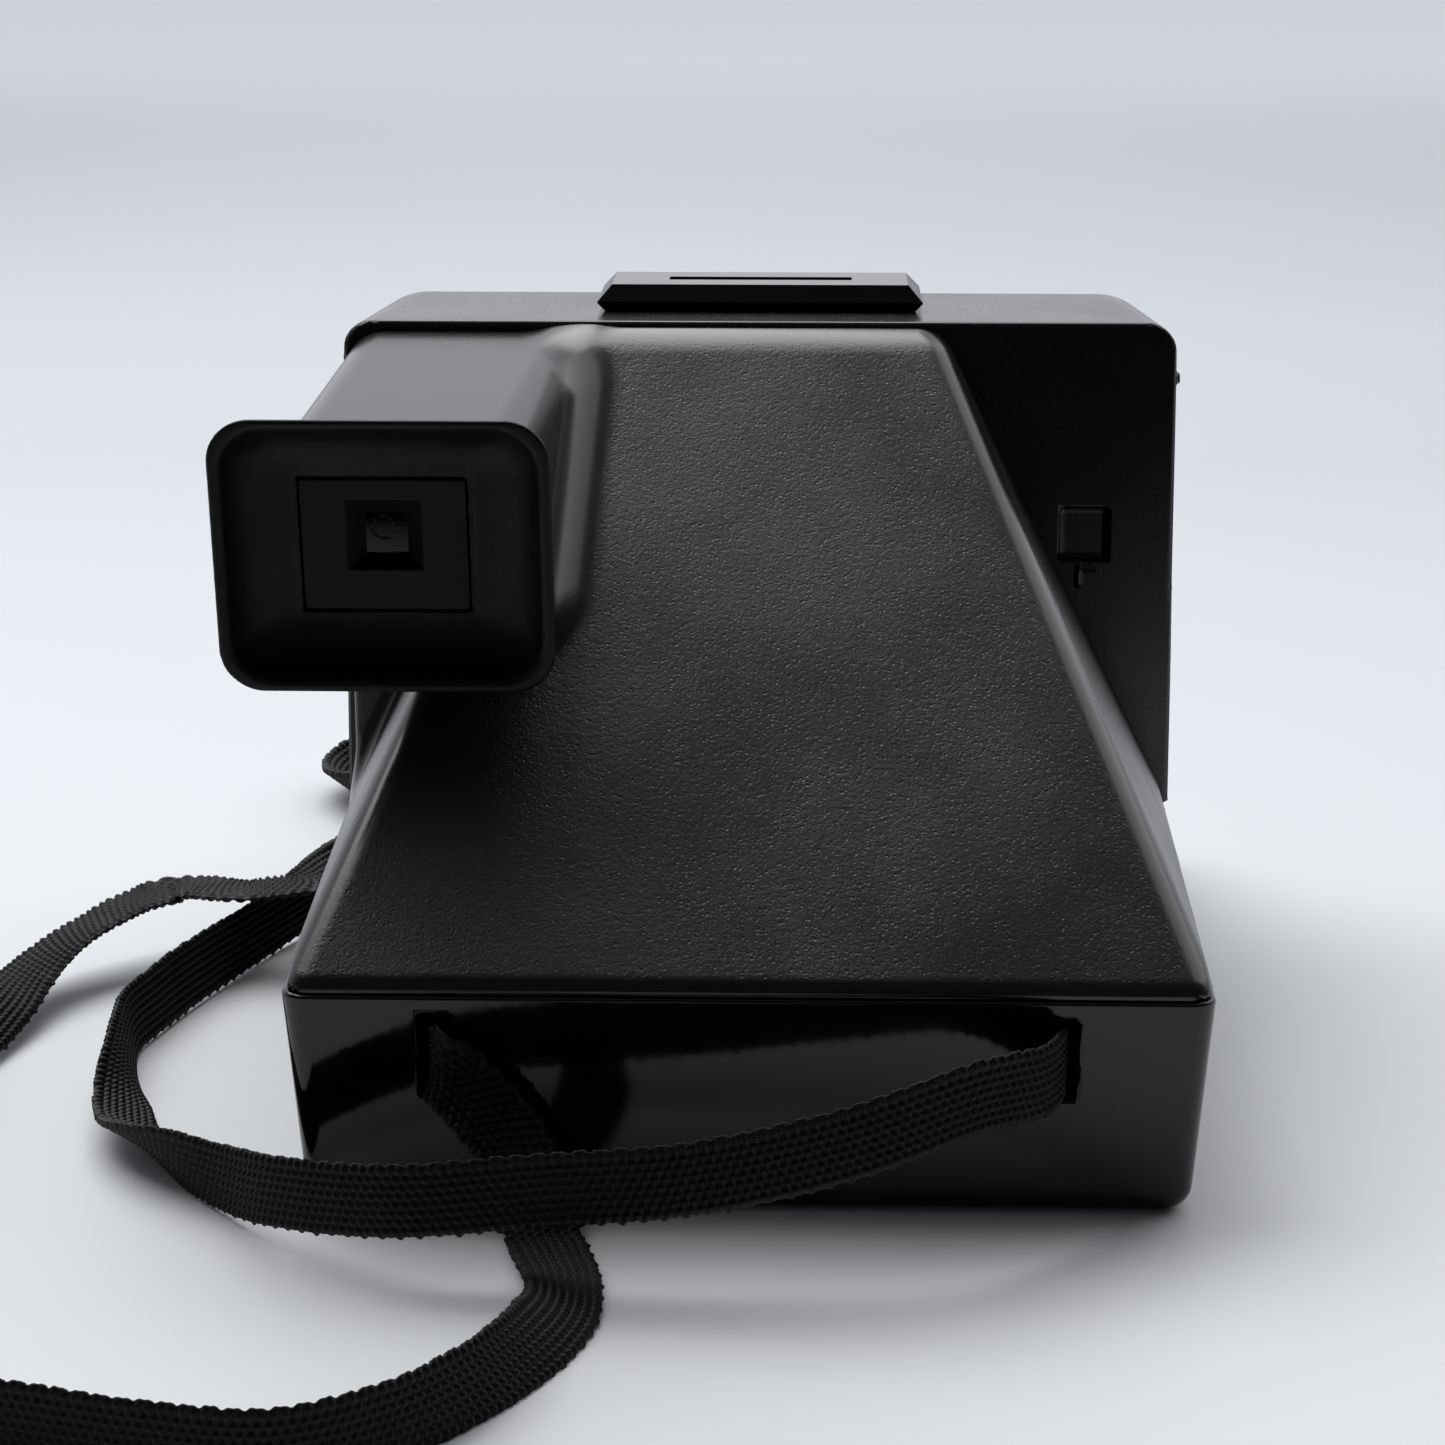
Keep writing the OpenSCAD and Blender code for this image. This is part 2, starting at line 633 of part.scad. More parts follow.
// Lens
module lens_ring() {
  neck_r = ring_r - 2.5;
  color("#151518") on_front(0, lens_z) rotate([-90, 0, 0]) rotate_extrude($fn = 64)
    polygon([
      [9.2, -4], [neck_r, -4], [neck_r, 0], [ring_r, 0], [ring_r, 2.2], [ring_r - 0.8, 3],
      [ring_r - 3, 3], [ring_r - 4, 1.6], [12.5, 1.6], [12, 0], [10.4, 0], [9.2, -2]
    ]);
}
module lens_barrel() {
  color("#0d0d0e") on_front(0, lens_z) rotate([-90, 0, 0]) rotate_extrude($fn = 64)
    polygon([
      [8.4, -4], [8.4, -8.5], [7, -8.5], [7, -16], [6.4, -16], [6.4, -19], [5, -19], [5, -20],
      [12, -20], [12, -18.5], [10.5, -18.5], [10.5, -4]
    ]);
}
// A lens of radius r between two domes
module lens_body(r, y0, y1, bulge) {
  dome_r = (r * r + bulge * bulge) / (2 * bulge);
  half_a = asin(r / dome_r);
  steps = 8;
  rotate([-90, 0, 0]) rotate_extrude($fn = 64) polygon(concat(
    [[0, y0]], [[r, y0]],
    [for (i = [steps:-1:0]) [dome_r * sin(half_a * i / steps), y1 - dome_r + dome_r * cos(half_a * i / steps)]]
  ));
}
module front_element() {
  color("#7c8a96") on_front(0, lens_z) lens_body(8.35, -8.5, -3.6, 2);
}
module rear_element() {
  color("#7c8a96") on_front(0, lens_z) lens_body(6.35, -19, -16.2, 1.2);
}

// Shutter: a plate with two rails, two blades that cross, and the beam that works them
module shutter_plate() {
  rail_end = 17.4;
  blades_y = shutter_y - 1.2;
  color("#2a2a2c") on_front(0, lens_z) difference() {
    union() {
      box([-22, 38], [blades_y, shutter_y], [-18, 18]);
      for (z = [-1, 1])
        translate([0, 0, z * (blade_hh + 1.2)]) box([-21, rail_end], [blades_y - 1.6, blades_y], [-1, 1]);
      translate([beam_x, 0, 0]) along_y(blades_y - 4.4, blades_y, 1.5);
    }
    along_y(shutter_y - 2, shutter_y + 1, aperture_r);
  }
}
module blade(side) {
  slot_x0 = beam_x - side * beam_r * sin(beam_a);
  y1 = shutter_y - 1.2 - (side > 0 ? 0.3 : 0.3 + blade_t + blade_gap);
  y0 = y1 - blade_t;
  start = side > 0 ? -18 : -9.5;
  tail = slot_x0 - 3;
  difference() {
    union() {
      box([start, 16.5], [y0, y1], [-blade_hh, blade_hh]);
      box([16.4, slot_x0 + 3], [y0, y1], side > 0 ? [2.2, blade_hh] : [-blade_hh, -2.2]);
      box([max(tail, 18), slot_x0 + 3], [y0, y1], side > 0 ? [2.2, 16.4] : [-16.4, -2.2]);
    }
    translate([-side * blade_run, 0, 0]) along_y(y0 - 1, y1 + 1, aperture_r);
    box([slot_x0 - beam_pin_r - 0.2, slot_x0 + beam_pin_r + 0.2], [y0 - 1, y1 + 1],
      side > 0 ? [12.3, 15.2] : [-15.2, -12.3]);
  }
}
module shutter_blade_a() {
  color("#3a3a3c") on_front(0, lens_z) blade(1);
}
module shutter_blade_b() {
  color("#454548") on_front(0, lens_z) blade(-1);
}
beam_y = shutter_y - 3.4;
module walking_beam() {
  color("#b8b3a6") on_front(0, lens_z) translate([beam_x, 0, 0]) rotate([0, -beam_a, 0]) difference() {
    union() {
      box([-1.6, 1.6], [beam_y - 1.4, beam_y], [-beam_r - 1.6, beam_r + 1.6]);
      along_y(beam_y - 1.4, beam_y, 3);
      translate([0, 0, beam_r]) along_y(beam_y - 0.5, shutter_y - 1.4, beam_pin_r);
      translate([0, 0, -beam_r]) along_y(beam_y - 3.2, beam_y + 2, beam_pin_r);
    }
    along_y(beam_y - 2, beam_y + 1, 1.5 + run);
  }
}
coil_y0 = beam_y - 2.4;
coil_z = -beam_r * cos(beam_a);
module solenoid() {
  color("#b5742e") on_front(0, lens_z) difference() {
    union() {
      translate([-15, coil_y0, coil_z]) rotate([0, 90, 0]) cylinder(h = 22, r = 3.8);
      box([-12, 4], [coil_y0, shutter_y - 1.2], [coil_z - 2.4, coil_z + 2.4]);
    }
    translate([-13.5, coil_y0, coil_z]) rotate([0, 90, 0]) cylinder(h = 22, r = 1.3 + run);
  }
}
module solenoid_plunger() {
  fork_x = beam_x + beam_r * sin(beam_a);
  color("#9a9da0") on_front(0, lens_z) difference() {
    union() {
      translate([-5.5, coil_y0, coil_z]) rotate([0, 90, 0]) cylinder(h = fork_x - 3 + 5.5, r = 1.3);
      box([fork_x - 4, fork_x + 2.4], [coil_y0 - 0.6, coil_y0 + 0.6], [coil_z - 3, coil_z + 2]);
    }
    box([fork_x - beam_pin_r - 0.2, fork_x + beam_pin_r + 0.2], [coil_y0 - 2, coil_y0 + 2],
      [-15.2, -12.3]);
  }
}

// Exposure control
module photocell_window() {
  color("#5b6068") on_front(wheel_x, wheel_z - cell_drop) along_y(-panel_t, -0.6, 2.6);
}
module photocell() {
  color("#6d2f2a") on_front(wheel_x, wheel_z - cell_drop) along_y(board_y, -panel_t - 0.3, 2.2);
}
module trim_wheel() {
  wheel_r = 9;
  ribs = 24;
  color("#202024") on_front(wheel_x, wheel_z) difference() {
    union() {
      along_y(0, 2.2, wheel_r);
      for (i = [0:ribs - 1])
        rotate([0, i * 360 / ribs, 0]) box([wheel_r - 0.4, wheel_r + 0.5], [0, 2.2], [-0.5, 0.5]);
    }
    along_y(-1, 4, 1.5 + run);
    rotate([90, 0, 0]) translate([0, 0, -4]) linear_extrude(8)
      polygon(concat(
        [for (a = [-130:5:-50]) polar(4.2 - (a + 90) / 60, a)],
        [for (a = [-50:-5:-130]) polar(6.8, a)]));
  }
}
module shutter_button() {
  color("#b3261e") on_front(button_x, button_z) difference() {
    union() {
      along_y(-panel_t, 2.4, button_r);
      along_y(-panel_t - 1.2, -panel_t, button_r + 1.2);
    }
    translate([0, 12.2, 0]) sphere(10.4);
  }
}
module button_spring() {
  turns = 3;
  steps = 12;
  wire_r = 0.25;
  helix_r = 3.6;
  y0 = board_y + wire_r + 0.02;
  y1 = -panel_t - 1.2 - wire_r - 0.02;
  count = turns * steps;
  color("#b9bcc0") on_front(button_x, button_z) skin([
    for (i = [0:count])
      let (a = i * 360 / steps, y = y0 + (y1 - y0) * i / count)
        [for (b = [0:60:300])
          [(helix_r + wire_r * cos(b)) * cos(a), y + wire_r * sin(b), (helix_r + wire_r * cos(b)) * sin(a)]]
  ]);
}
module circuit_board() {
  board_t = 1.2;
  y1 = board_y;
  y0 = board_y - board_t;
  color("#2f5a36") on_front() difference() {
    union() {
      box([17, 49.5], [y0, y1], [17.5, 58]);
      box([26, 36], [y0 - 2.4, y0], [30, 38]);
      box([40, 47], [y0 - 1.6, y0], [44, 50]);
      translate([22, y0, 48]) along_y(-7, 0, 3);
      box([button_x - 2, button_x + 2], [y1, y1 + 1], [button_z - 2, button_z + 2]);
    }
    for (p = board_posts) translate([p[0], 0, p[1]]) along_y(y0 - 1, y1 + 1, 0.7);
  }
}

// Film chamber: a tray that the cassette slides into, with the picture opening in its roof
module film_chamber() {
  pick_y = [chamber_rear + 2, chamber_rear + 40];
  color("#191919") difference() {
    box([-chamber_hw, chamber_hw], [chamber_rear - chamber_wall, front_y], [wall, chamber_top]);
    box([-chamber_in, chamber_in], [chamber_rear, front_y + 1], [chamber_z0, chamber_z1]);
    box([-picture / 2, picture / 2], [picture_y - picture / 2, picture_y + picture / 2], [chamber_z1 - 1, chamber_top + 1]);
    box([chamber_in - 1, chamber_hw + 1], pick_y, [chamber_z1 - 5.2, chamber_z1 - 1.6]);
    for (x = [-20, 20]) box([x - 2.2, x + 2.2], [front_y - 30, front_y - 14], [chamber_z0 - 0.4, chamber_z0 + 1]);
    along_x(chamber_in - 1, idler_y, idler_z) cylinder(h = 4, r = stud_r + 0.02);
  }
}
module light_seal() {
  color("#26262a") box([-chamber_in, chamber_in], [front_y, front_y + 0.8], [chamber_z1 + 0.2, chamber_top]);
}
module battery_contacts() {
  color("#c9a24a") for (x = [-20, 20])
    box([x - 2, x + 2], [front_y - 29.8, front_y - 14.2], [chamber_z0 - 0.4, chamber_z0]);
}
pick_travel = 12;
module film_pick() {
  y0 = chamber_rear + 2.5;
  z0 = chamber_z1 - 4.9;
  color("#a9acb0") union() {
    box([chamber_in + 0.2, chamber_hw - 0.2], [y0, y0 + 22], [z0, z0 + 3]);
    box([chamber_in - 0.3, chamber_in + 0.3], [y0, y0 + 1], [z0 + 0.6, z0 + 2.4]);
    box([chamber_hw - 0.3, chamber_hw + 1.2], [y0 + 10, y0 + 16], [z0 + 0.5, z0 + 2.5]);
  }
}

// Mirror on the slope's inside, above the picture opening
module slope_plate(s0, s1, hw0, hw1, z0, z1) {
  translate([0, 0, z0]) linear_extrude(z1 - z0) polygon([[-hw0, s0], [hw0, s0], [hw1, s1], [-hw1, s1]]);
}
mirror_span = 0.82 * (crest_y - rear_y) / cos(slope_a);
module mirror_carrier() {
  color("#222224") on_slope() difference() {
    slope_plate(12, mirror_span, 40.5, 20.5, -wall - 1.5, -wall - 0.1);
    slope_plate(22, mirror_span - 12, 30, 14, -wall - 2, -wall + 1);
  }
}
module reflex_mirror() {
  color("#c5ccd2") on_slope() slope_plate(14, mirror_span - 2, 39, 19.5, -wall - 3, -wall - 1.5);
}

// Gear train
module gear_plate() {
  color("#3b3b3e") difference() {
    box([chamber_in, chamber_hw], [motor_y - 10, reduction_y + 7], [chamber_top, motor_z + 10]);
    along_x(chamber_in - 1, motor_y, motor_z) cylinder(h = 4, r = 3.02);
    along_x(chamber_in - 1, reduction_y, reduction_z) cylinder(h = 4, r = stud_r + 0.02);
  }
}
module gear_studs() {
  color("#c2c5c8") {
    along_x(chamber_in + 0.1, idler_y, idler_z) cylinder(h = fine_x + fine_t + 0.2 - chamber_in, r = stud_r);
    along_x(chamber_in, reduction_y, reduction_z) cylinder(h = fine_x + fine_t + 0.2 - chamber_in, r = stud_r);
  }
}
module motor() {
  color("#9fa2a6") difference() {
    union() {
      along_x(plate_x - motor_l, motor_y, motor_z) cylinder(h = motor_l, r = motor_r);
      along_x(plate_x - 1, motor_y, motor_z) cylinder(h = 1 + chamber_wall, r = 3);
      along_x(plate_x - motor_l - 1.5, motor_y, motor_z) cylinder(h = 2, r = 3);
    }
    along_x(plate_x - 9, motor_y, motor_z) cylinder(h = 12, r = 1 + run);
  }
}
module motor_pinion() {
  color("#c4a35a") {
    along_x(fine_x, motor_y, motor_z) gear(pinion_teeth, fine_m, fine_t, 0.9, pinion_phase);
    along_x(plate_x - 8.5, motor_y, motor_z) cylinder(h = fine_x + fine_t - plate_x + 8.5, r = 1);
  }
}
module reduction_gear() {
  color("#e6e2d6") union() {
    along_x(gear_x, reduction_y, reduction_z) gear(small_teeth, gear_m, gear_t + 0.4, stud_r + run, small_phase);
    along_x(fine_x, reduction_y, reduction_z) gear(large_teeth, fine_m, fine_t, stud_r + run, large_phase);
  }
}
module idler_gear() {
  color("#e6e2d6") along_x(gear_x, idler_y, idler_z) gear(idler_teeth, gear_m, gear_t, stud_r + run, idler_phase);
}

// Film door with the rollers behind it
module film_door() {
  color("#131317") difference() {
    union() {
      along_x(-door_hw, hinge_y, hinge_z) cylinder(h = 2 * door_hw, r = knuckle_r);
      box([-door_hw, door_hw], [door_y - door_t, door_y], [hinge_z, door_top]);
      box([-door_hw, door_hw], [shelf_y, door_y], [door_top - door_t, door_top]);
    }
    box([-frame_in, frame_in], [door_y - door_t - 1, door_y + 1],
      [(lower_z + upper_z) / 2 - 1.7, (lower_z + upper_z) / 2 + 1.7]);
    both_sides() along_x(door_hw - 4, hinge_y, hinge_z) cylinder(h = 5, r = hinge_r + run);
  }
}
module roller_frame() {
  front = door_y - door_t;
  roof = door_top - door_t;
  color("#2e2e31") difference() {
    union() {
      both_sides() box([frame_in, frame_in + frame_t], [front_y + 1.8, front], [hinge_z + knuckle_r + 0.6, roof]);
      box([-frame_in - eps, frame_in + eps], [roller_y + roller_r + 0.4, front], [upper_z + 1.6, roof]);
    }
    for (z = [lower_z, upper_z])
      along_x(-frame_in - frame_t - 1, roller_y, z) cylinder(h = 2 * (frame_in + frame_t + 1), r = journal_r + run);
  }
}
module roller(z) {
  along_x(-frame_in + 0.4, roller_y, z) cylinder(h = 2 * frame_in - 0.8, r = roller_r);
  along_x(-frame_in - frame_t - 0.4, roller_y, z)
    cylinder(h = frame_in + frame_t + 0.4 + gear_x + gear_t, r = journal_r);
}
module upper_roller() {
  color("#c8cbcf") roller(upper_z);
}
module lower_roller() {
  color("#c8cbcf") roller(lower_z);
}
module upper_gear() {
  color("#e6e2d6") along_x(gear_x, roller_y, upper_z)
    gear(roller_teeth, gear_m, gear_t, journal_r, upper_phase);
}
module lower_gear() {
  color("#e6e2d6") along_x(gear_x, roller_y, lower_z)
    gear(roller_teeth, gear_m, gear_t, journal_r, lower_phase);
}
module hinge_pins() {
  color("#c2c5c8") both_sides() along_x(door_hw - 3.8, hinge_y, hinge_z)
    cylinder(h = 3.8 + cavity_hw + 1.6 - door_hw, r = hinge_r);
}
// Release slide for the door, inside the left wall with its thumb piece outside
module door_latch() {
  x1 = -cavity_hw + 0.1;
  color("#101013") union() {
    box([-cavity_hw + 0.3, -cavity_hw + 1.8], [latch_y - 6, latch_y + 6.5], [latch_z - 5, latch_z + 5]);
    box([-side_hw - 0.6, x1 + 0.6], [latch_y - 2.8, latch_y + 2.8], [latch_z - 1.8, latch_z + 1.8]);
    for (i = [-1:1])
      box([-side_hw - 1.2, -side_hw - 0.5], [latch_y - 2.8, latch_y + 2.8], [latch_z + i * 1.2 - 0.3, latch_z + i * 1.2 + 0.3]);
  }
}

module case_screws() {
  color("#8d9094") both_sides() for (y = [screw_rear_y, screw_front_y]) {
    tip = y == screw_rear_y ? 3.6 : 7;
    translate([screw_x, y, 0]) difference() {
      union() {
        translate([0, 0, 16]) cylinder(h = 2, r = 2);
        translate([0, 0, 17]) cylinder(h = base_h - 17 + tip, r = screw_r);
      }
      translate([0, 0, 15]) for (a = [0, 90]) rotate([0, 0, a]) box([-1.3, 1.3], [-0.25, 0.25], [0, 1.8]);
    }
  }
}
module strap_pins() {
  color("#b9bcc0") both_sides() translate([slot_x, anchor_y, slot_z - slot_h / 2 - 2.4])
    cylinder(h = slot_h + 2.4 + 2.3, r = pin_r);
}
module strap() {
  color("#1a1a1c") skin([for (i = [0:len(strap_route) - 1]) ribbon_ring(strap_route, i)]);
}

base_shell();
slope_cover();
front_housing();
front_panel();
flash_socket();
flash_contacts();
eyecup();
eyepiece_plate();
eyepiece_lens();
finder_tunnel();
finder_lens();
lens_ring();
lens_barrel();
front_element();
rear_element();
shutter_plate();
shutter_blade_a();
shutter_blade_b();
walking_beam();
solenoid();
solenoid_plunger();
photocell();
photocell_window();
trim_wheel();
shutter_button();
button_spring();
circuit_board();
film_chamber();
light_seal();
battery_contacts();
film_pick();
mirror_carrier();
reflex_mirror();
gear_plate();
gear_studs();
motor();
motor_pinion();
reduction_gear();
idler_gear();
film_door();
roller_frame();
upper_roller();
upper_gear();
lower_roller();
lower_gear();
hinge_pins();
door_latch();
case_screws();
strap_pins();
strap();
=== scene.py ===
"""Instant camera: the moulded shells, finder, strap and finishes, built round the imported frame."""
import math

import bpy
import numpy as np
from bpy.props import FloatProperty, FloatVectorProperty, IntProperty, PointerProperty
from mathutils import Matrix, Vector


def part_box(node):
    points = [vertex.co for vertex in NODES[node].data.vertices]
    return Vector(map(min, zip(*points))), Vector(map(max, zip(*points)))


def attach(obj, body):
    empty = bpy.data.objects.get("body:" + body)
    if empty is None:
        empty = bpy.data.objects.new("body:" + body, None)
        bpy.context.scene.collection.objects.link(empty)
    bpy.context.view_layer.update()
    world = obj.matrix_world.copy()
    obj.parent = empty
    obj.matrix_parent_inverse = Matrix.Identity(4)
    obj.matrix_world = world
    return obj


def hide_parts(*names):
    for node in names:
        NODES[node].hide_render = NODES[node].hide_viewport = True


bl_info = {
    "name": "Instant camera",
    "version": (1, 0, 0),
    "blender": (4, 5, 0),
    "location": "View3D > Sidebar > Camera",
    "description": "Builds the shells, finder, strap and finishes of a box-form instant camera",
    "category": "Object",
}

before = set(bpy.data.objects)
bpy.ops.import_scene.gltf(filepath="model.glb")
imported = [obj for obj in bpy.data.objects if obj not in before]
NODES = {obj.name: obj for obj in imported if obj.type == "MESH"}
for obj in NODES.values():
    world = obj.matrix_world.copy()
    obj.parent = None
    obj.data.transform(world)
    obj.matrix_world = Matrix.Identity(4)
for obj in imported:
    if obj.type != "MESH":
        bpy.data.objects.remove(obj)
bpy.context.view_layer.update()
MM = 0.001
SEED = 7


def mm_box(node):
    """Lowest and highest corner of a CAD node, in millimetres."""
    low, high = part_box(node)
    return [v / MM for v in low], [v / MM for v in high]


# ---------------------------------------------------------------- sizes, in millimetres
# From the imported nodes; HW is half a width
BASE_LOW, BASE_HIGH = mm_box("base_shell")
HOUSE_LOW, HOUSE_HIGH = mm_box("front_housing")
SOCKET_LOW, SOCKET_HIGH = mm_box("flash_socket")
REAR, DOOR = BASE_LOW[1], BASE_HIGH[1]
BASE_TOP, HOUSE_TOP = BASE_HIGH[2], HOUSE_HIGH[2]
SIDE_HW, HOUSE_HW = BASE_HIGH[0], HOUSE_HIGH[0]
HOUSE_REAR, HOUSE_FOOT = HOUSE_LOW[1], HOUSE_HIGH[1]

# Base shell: its sides flare from the rear to the housing, and its walls draw in towards the floor
FLARE, DRAFT, WALL = 2.0, 2.0, 2.2
FULL = 0.5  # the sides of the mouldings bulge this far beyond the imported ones
BASE_HW = SIDE_HW - FLARE
CAVITY_HW = SIDE_HW - DRAFT - WALL
INNER_REAR = REAR + DRAFT + WALL
SCREW_X = BASE_HW - DRAFT - WALL - 1.2
SCREWS = [(SCREW_X, REAR + 13), (SCREW_X, HOUSE_REAR + 7)]
BOSS_R, COUNTERBORE_R, COUNTERBORE_TOP, SCREW_R = 2.6, 2.1, 18, 1.25
LATCH, LATCH_HW = (HOUSE_FOOT - 5, 17.0), 3.3
HINGE, HINGE_R, HINGE_GAP = (DOOR - 2.8, 3.2), 1.22, 3.2
SLOT_X, SLOT_W, SLOT_H = 38.0, 3.6, 10.5
SLOT_Z = BASE_TOP - 2.4 - SLOT_H / 2
LUG_HW, LUG_DEEP = 3, 4.9

# Front housing: its panel leans back, its sides draw in and its corners open out towards the crown
LEAN = math.radians(9.9)
SIDE_DRAFT = 1.3
CORNER_R, CORNER_OPENS = 4, 6
PANEL_W, PANEL_Z = 2 * (HOUSE_HW - 10), (5.0, 58.0)
SOCKET_CUT_HW, SOCKET_LIP = 16, 4.85
RECESS, RECESS_HALF = (HOUSE_HW - 12.8, BASE_TOP + 39.5), (3.3, 3.7)

# Sloped cover, from its foot on the base to its crest at the housing
CREST_HW = 24.5
CREST_Z = HOUSE_TOP - 1.4
CREST_Y = HOUSE_REAR - 2.5
SLOPE = math.atan2(CREST_Z - BASE_TOP, CREST_Y - REAR)
PROUD = 0.9  # the cover's faces stand this far out of the planes through its corners

# Finder: the tilted eyepiece, its hood, the eyecup and the frame with its four-sided pit
EYE = (14.0 - HOUSE_HW, HOUSE_REAR - 54.0, BASE_TOP + 49.6)
EYE_TILT = math.radians(8)
HOOD_W, HOOD_H = 33.0, 27.0
HOOD_SET = 1.4
HOOD_LEFT = 1.5 - HOUSE_HW
HOOD_RIGHT = EYE[0] + HOOD_W / 2 + 3.5
CUP_W, CUP_H, CUP_D = 42.4, 36.2, 8.0
CUP_MID = (-0.3, 1.4)
CUP_FLOOR, CUP_LIP = 1.7, 1.9
PLATE_MID, PLATE_HALF, PLATE_FACE = (-0.75, 0.8), (10.3, 8.6), 1.66
PIT_MID, PIT_HALF, PIT_END, PIT_DEEP = (-0.75, 2.1), (4.75, 4.6), (2.8, 3.1), 2.3
PIT_DROP = 0.8
LENS_BACK, LENS_R = 0.8, 40

# The strap's route: x, y, z in millimetres and the lean of its width from upright in degrees
STRAP_OUT = [
    (38, -64.6, 20.6, 0), (38, -70, 20.6, 0), (36, -76, 20.8, 0), (27.7, -83.5, 21.5, 0),
    (11.87, -89, 17.6, 0), (-5.643, -91, 14.1, 0), (-24.06, -91, 12.3, 0), (-40.55, -90, 10.4, 0),
    (-55.75, -81.5, 7.58, 0), (-65.1, -71, 4.9, -4), (-70.9, -65.5, 4.6, -18), (-75.3, -60.4, 4, -38),
    (-79.4, -53.5, 3, -58), (-82.1, -43.7, 2.9, -55), (-84.1, -35.1, 4, -27), (-85.4, -27.7, 4.6, -14),
    (-86, -18.5, 4.8, -10), (-84.4, -11.6, 4.8, -10), (-82.5, -4.2, 4.8, -12), (-78.9, 6.1, 4.9, -10),
    (-75.8, 14.4, 4.9, -8), (-73, 22, 4.9, -6), (-70, 28.9, 5.2, -4), (-63.6, 56, 4.9, 0),
    (-63.4, 68, 4.9, 0), (-63.6, 79, 4.9, -5), (-65, 86.5, 4.6, -22), (-69.3, 91.5, 4, -40),
    (-73, 98.5, 3.4, -52), (-73, 106.5, 3.6, -50), (-68.5, 113, 4.4, -28), (-61, 112.5, 4.8, -8),
    (-55.8, 104, 5, 0), (-55.5, 95, 5.2, 0), (-58.5, 87, 5.2, 0), (-60.2, 76, 5.4, 0), (-60.4, 62, 5.8, 0),
    (-60.5, 50, 7.2, 10), (-61.7, 38, 9.8, 35), (-64, 26, 12, 70), (-68.1, 16.6, 12.6, 92),
    (-72.2, 15.4, 12.3, 92), (-75.6, 15.1, 12, 92), (-78.7, 16.4, 11.6, 92), (-83.3, 19.2, 11, 90),
    (-87.6, 20.4, 10.2, 87), (-90, 18, 10.2, 90), (-93.5, 15, 9.6, 94), (-96.7, 11.3, 8.6, 98),
    (-99.5, 7.9, 7.6, 98), (-102.4, 3, 6.2, 97), (-104.6, -4.4, 5, 88), (-105.7, -13.8, 4.6, 64),
    (-110.5, -36, 4.9, 20), (-121, -48, 4.9, 0), (-132, -50, 4.9, 0),
]
STRAP_BACK = [
    (-131, -125, 4.2, 35), (-119, -121, 0.9, 90), (-106, -122, 1.2, 80), (-92, -128, 4.5, 15),
    (-76, -133, 4.9, 0), (-61, -137, 4.9, 0), (-47, -138.5, 4.9, 0), (-36, -132, 4.7, -4),
    (-27.5, -121.5, 4.3, -14), (-22.5, -110, 3.5, -40), (-20.5, -99.5, 2.2, -68), (-21.3, -90, 1.4, -86),
    (-22.8, -84.5, 1.2, -92), (-24.2, -79.6, 1.3, -96), (-25.2, -76.4, 3.4, -112), (-26.8, -74.8, 8, -138),
    (-30, -73.8, 13, -156), (-34.2, -73, 17.6, -168), (-37.3, -71.6, 20.2, -176), (-38, -69.5, 20.6, -180),
    (-38, -64.6, 20.6, -180),
]
COIL = (-150, -88)
COIL_R0, COIL_R1, COIL_STEPS = 38.0, 32.5, 19
COIL_START, COIL_SWEEP = 82, 540
COIL_Z = 4.9  # half the strap's width, as it stands on edge
CROSSING, CROSSING_SPAN, CROSSING_LIFT = 318, 32, 1.8


def strap_coil():
    """The turn and a half that the strap makes beside the camera, lifted where it crosses itself."""
    points = []
    for i in range(COIL_STEPS + 1):
        angle = COIL_START + COIL_SWEEP * i / COIL_STEPS
        r = COIL_R0 + (COIL_R1 - COIL_R0) * i / COIL_STEPS
        over = max(0, 1 - abs(angle - CROSSING) / CROSSING_SPAN)
        turn = math.radians(angle)
        points.append((COIL[0] + r * math.cos(turn), COIL[1] + r * math.sin(turn),
                       COIL_Z + CROSSING_LIFT * over, 0))
    return points


# ---------------------------------------------------------------- colour and material nodes
def linear(code, alpha=None):
    """An sRGB hex colour as linear values."""
    values = []
    for i in (1, 3, 5):
        c = int(code[i:i + 2], 16) / 255
        values.append(c / 12.92 if c <= 0.04045 else ((c + 0.055) / 1.055) ** 2.4)
    return tuple(values) if alpha is None else tuple(values) + (alpha,)


def add(tree, kind, links=None, **settings):
    """A new node with its settings, and its inputs set to values or linked from sockets.

    A colour mix takes its share at input 0 and its two colours at inputs 6 and 7.
    """
    node = tree.nodes.new(kind)
    for key, value in settings.items():
        setattr(node, key, value)
    for key, value in (links or {}).items():
        if isinstance(value, bpy.types.NodeSocket):
            tree.links.new(value, node.inputs[key])
        else:
            node.inputs[key].default_value = value
    return node


def blank(name):
    """A material with only a principled shader and its output."""
    material = bpy.data.materials.new(name)
    material.use_nodes = True
    tree = material.node_tree
    tree.nodes.clear()
    shader = add(tree, "ShaderNodeBsdfPrincipled")
    out = add(tree, "ShaderNodeOutputMaterial")
    tree.links.new(shader.outputs[0], out.inputs[0])
    return material, tree, shader


def per_mm(size):
    """Noise scale, per metre, of a pattern whose grains are size millimetres across."""
    return 1 / (size * MM)


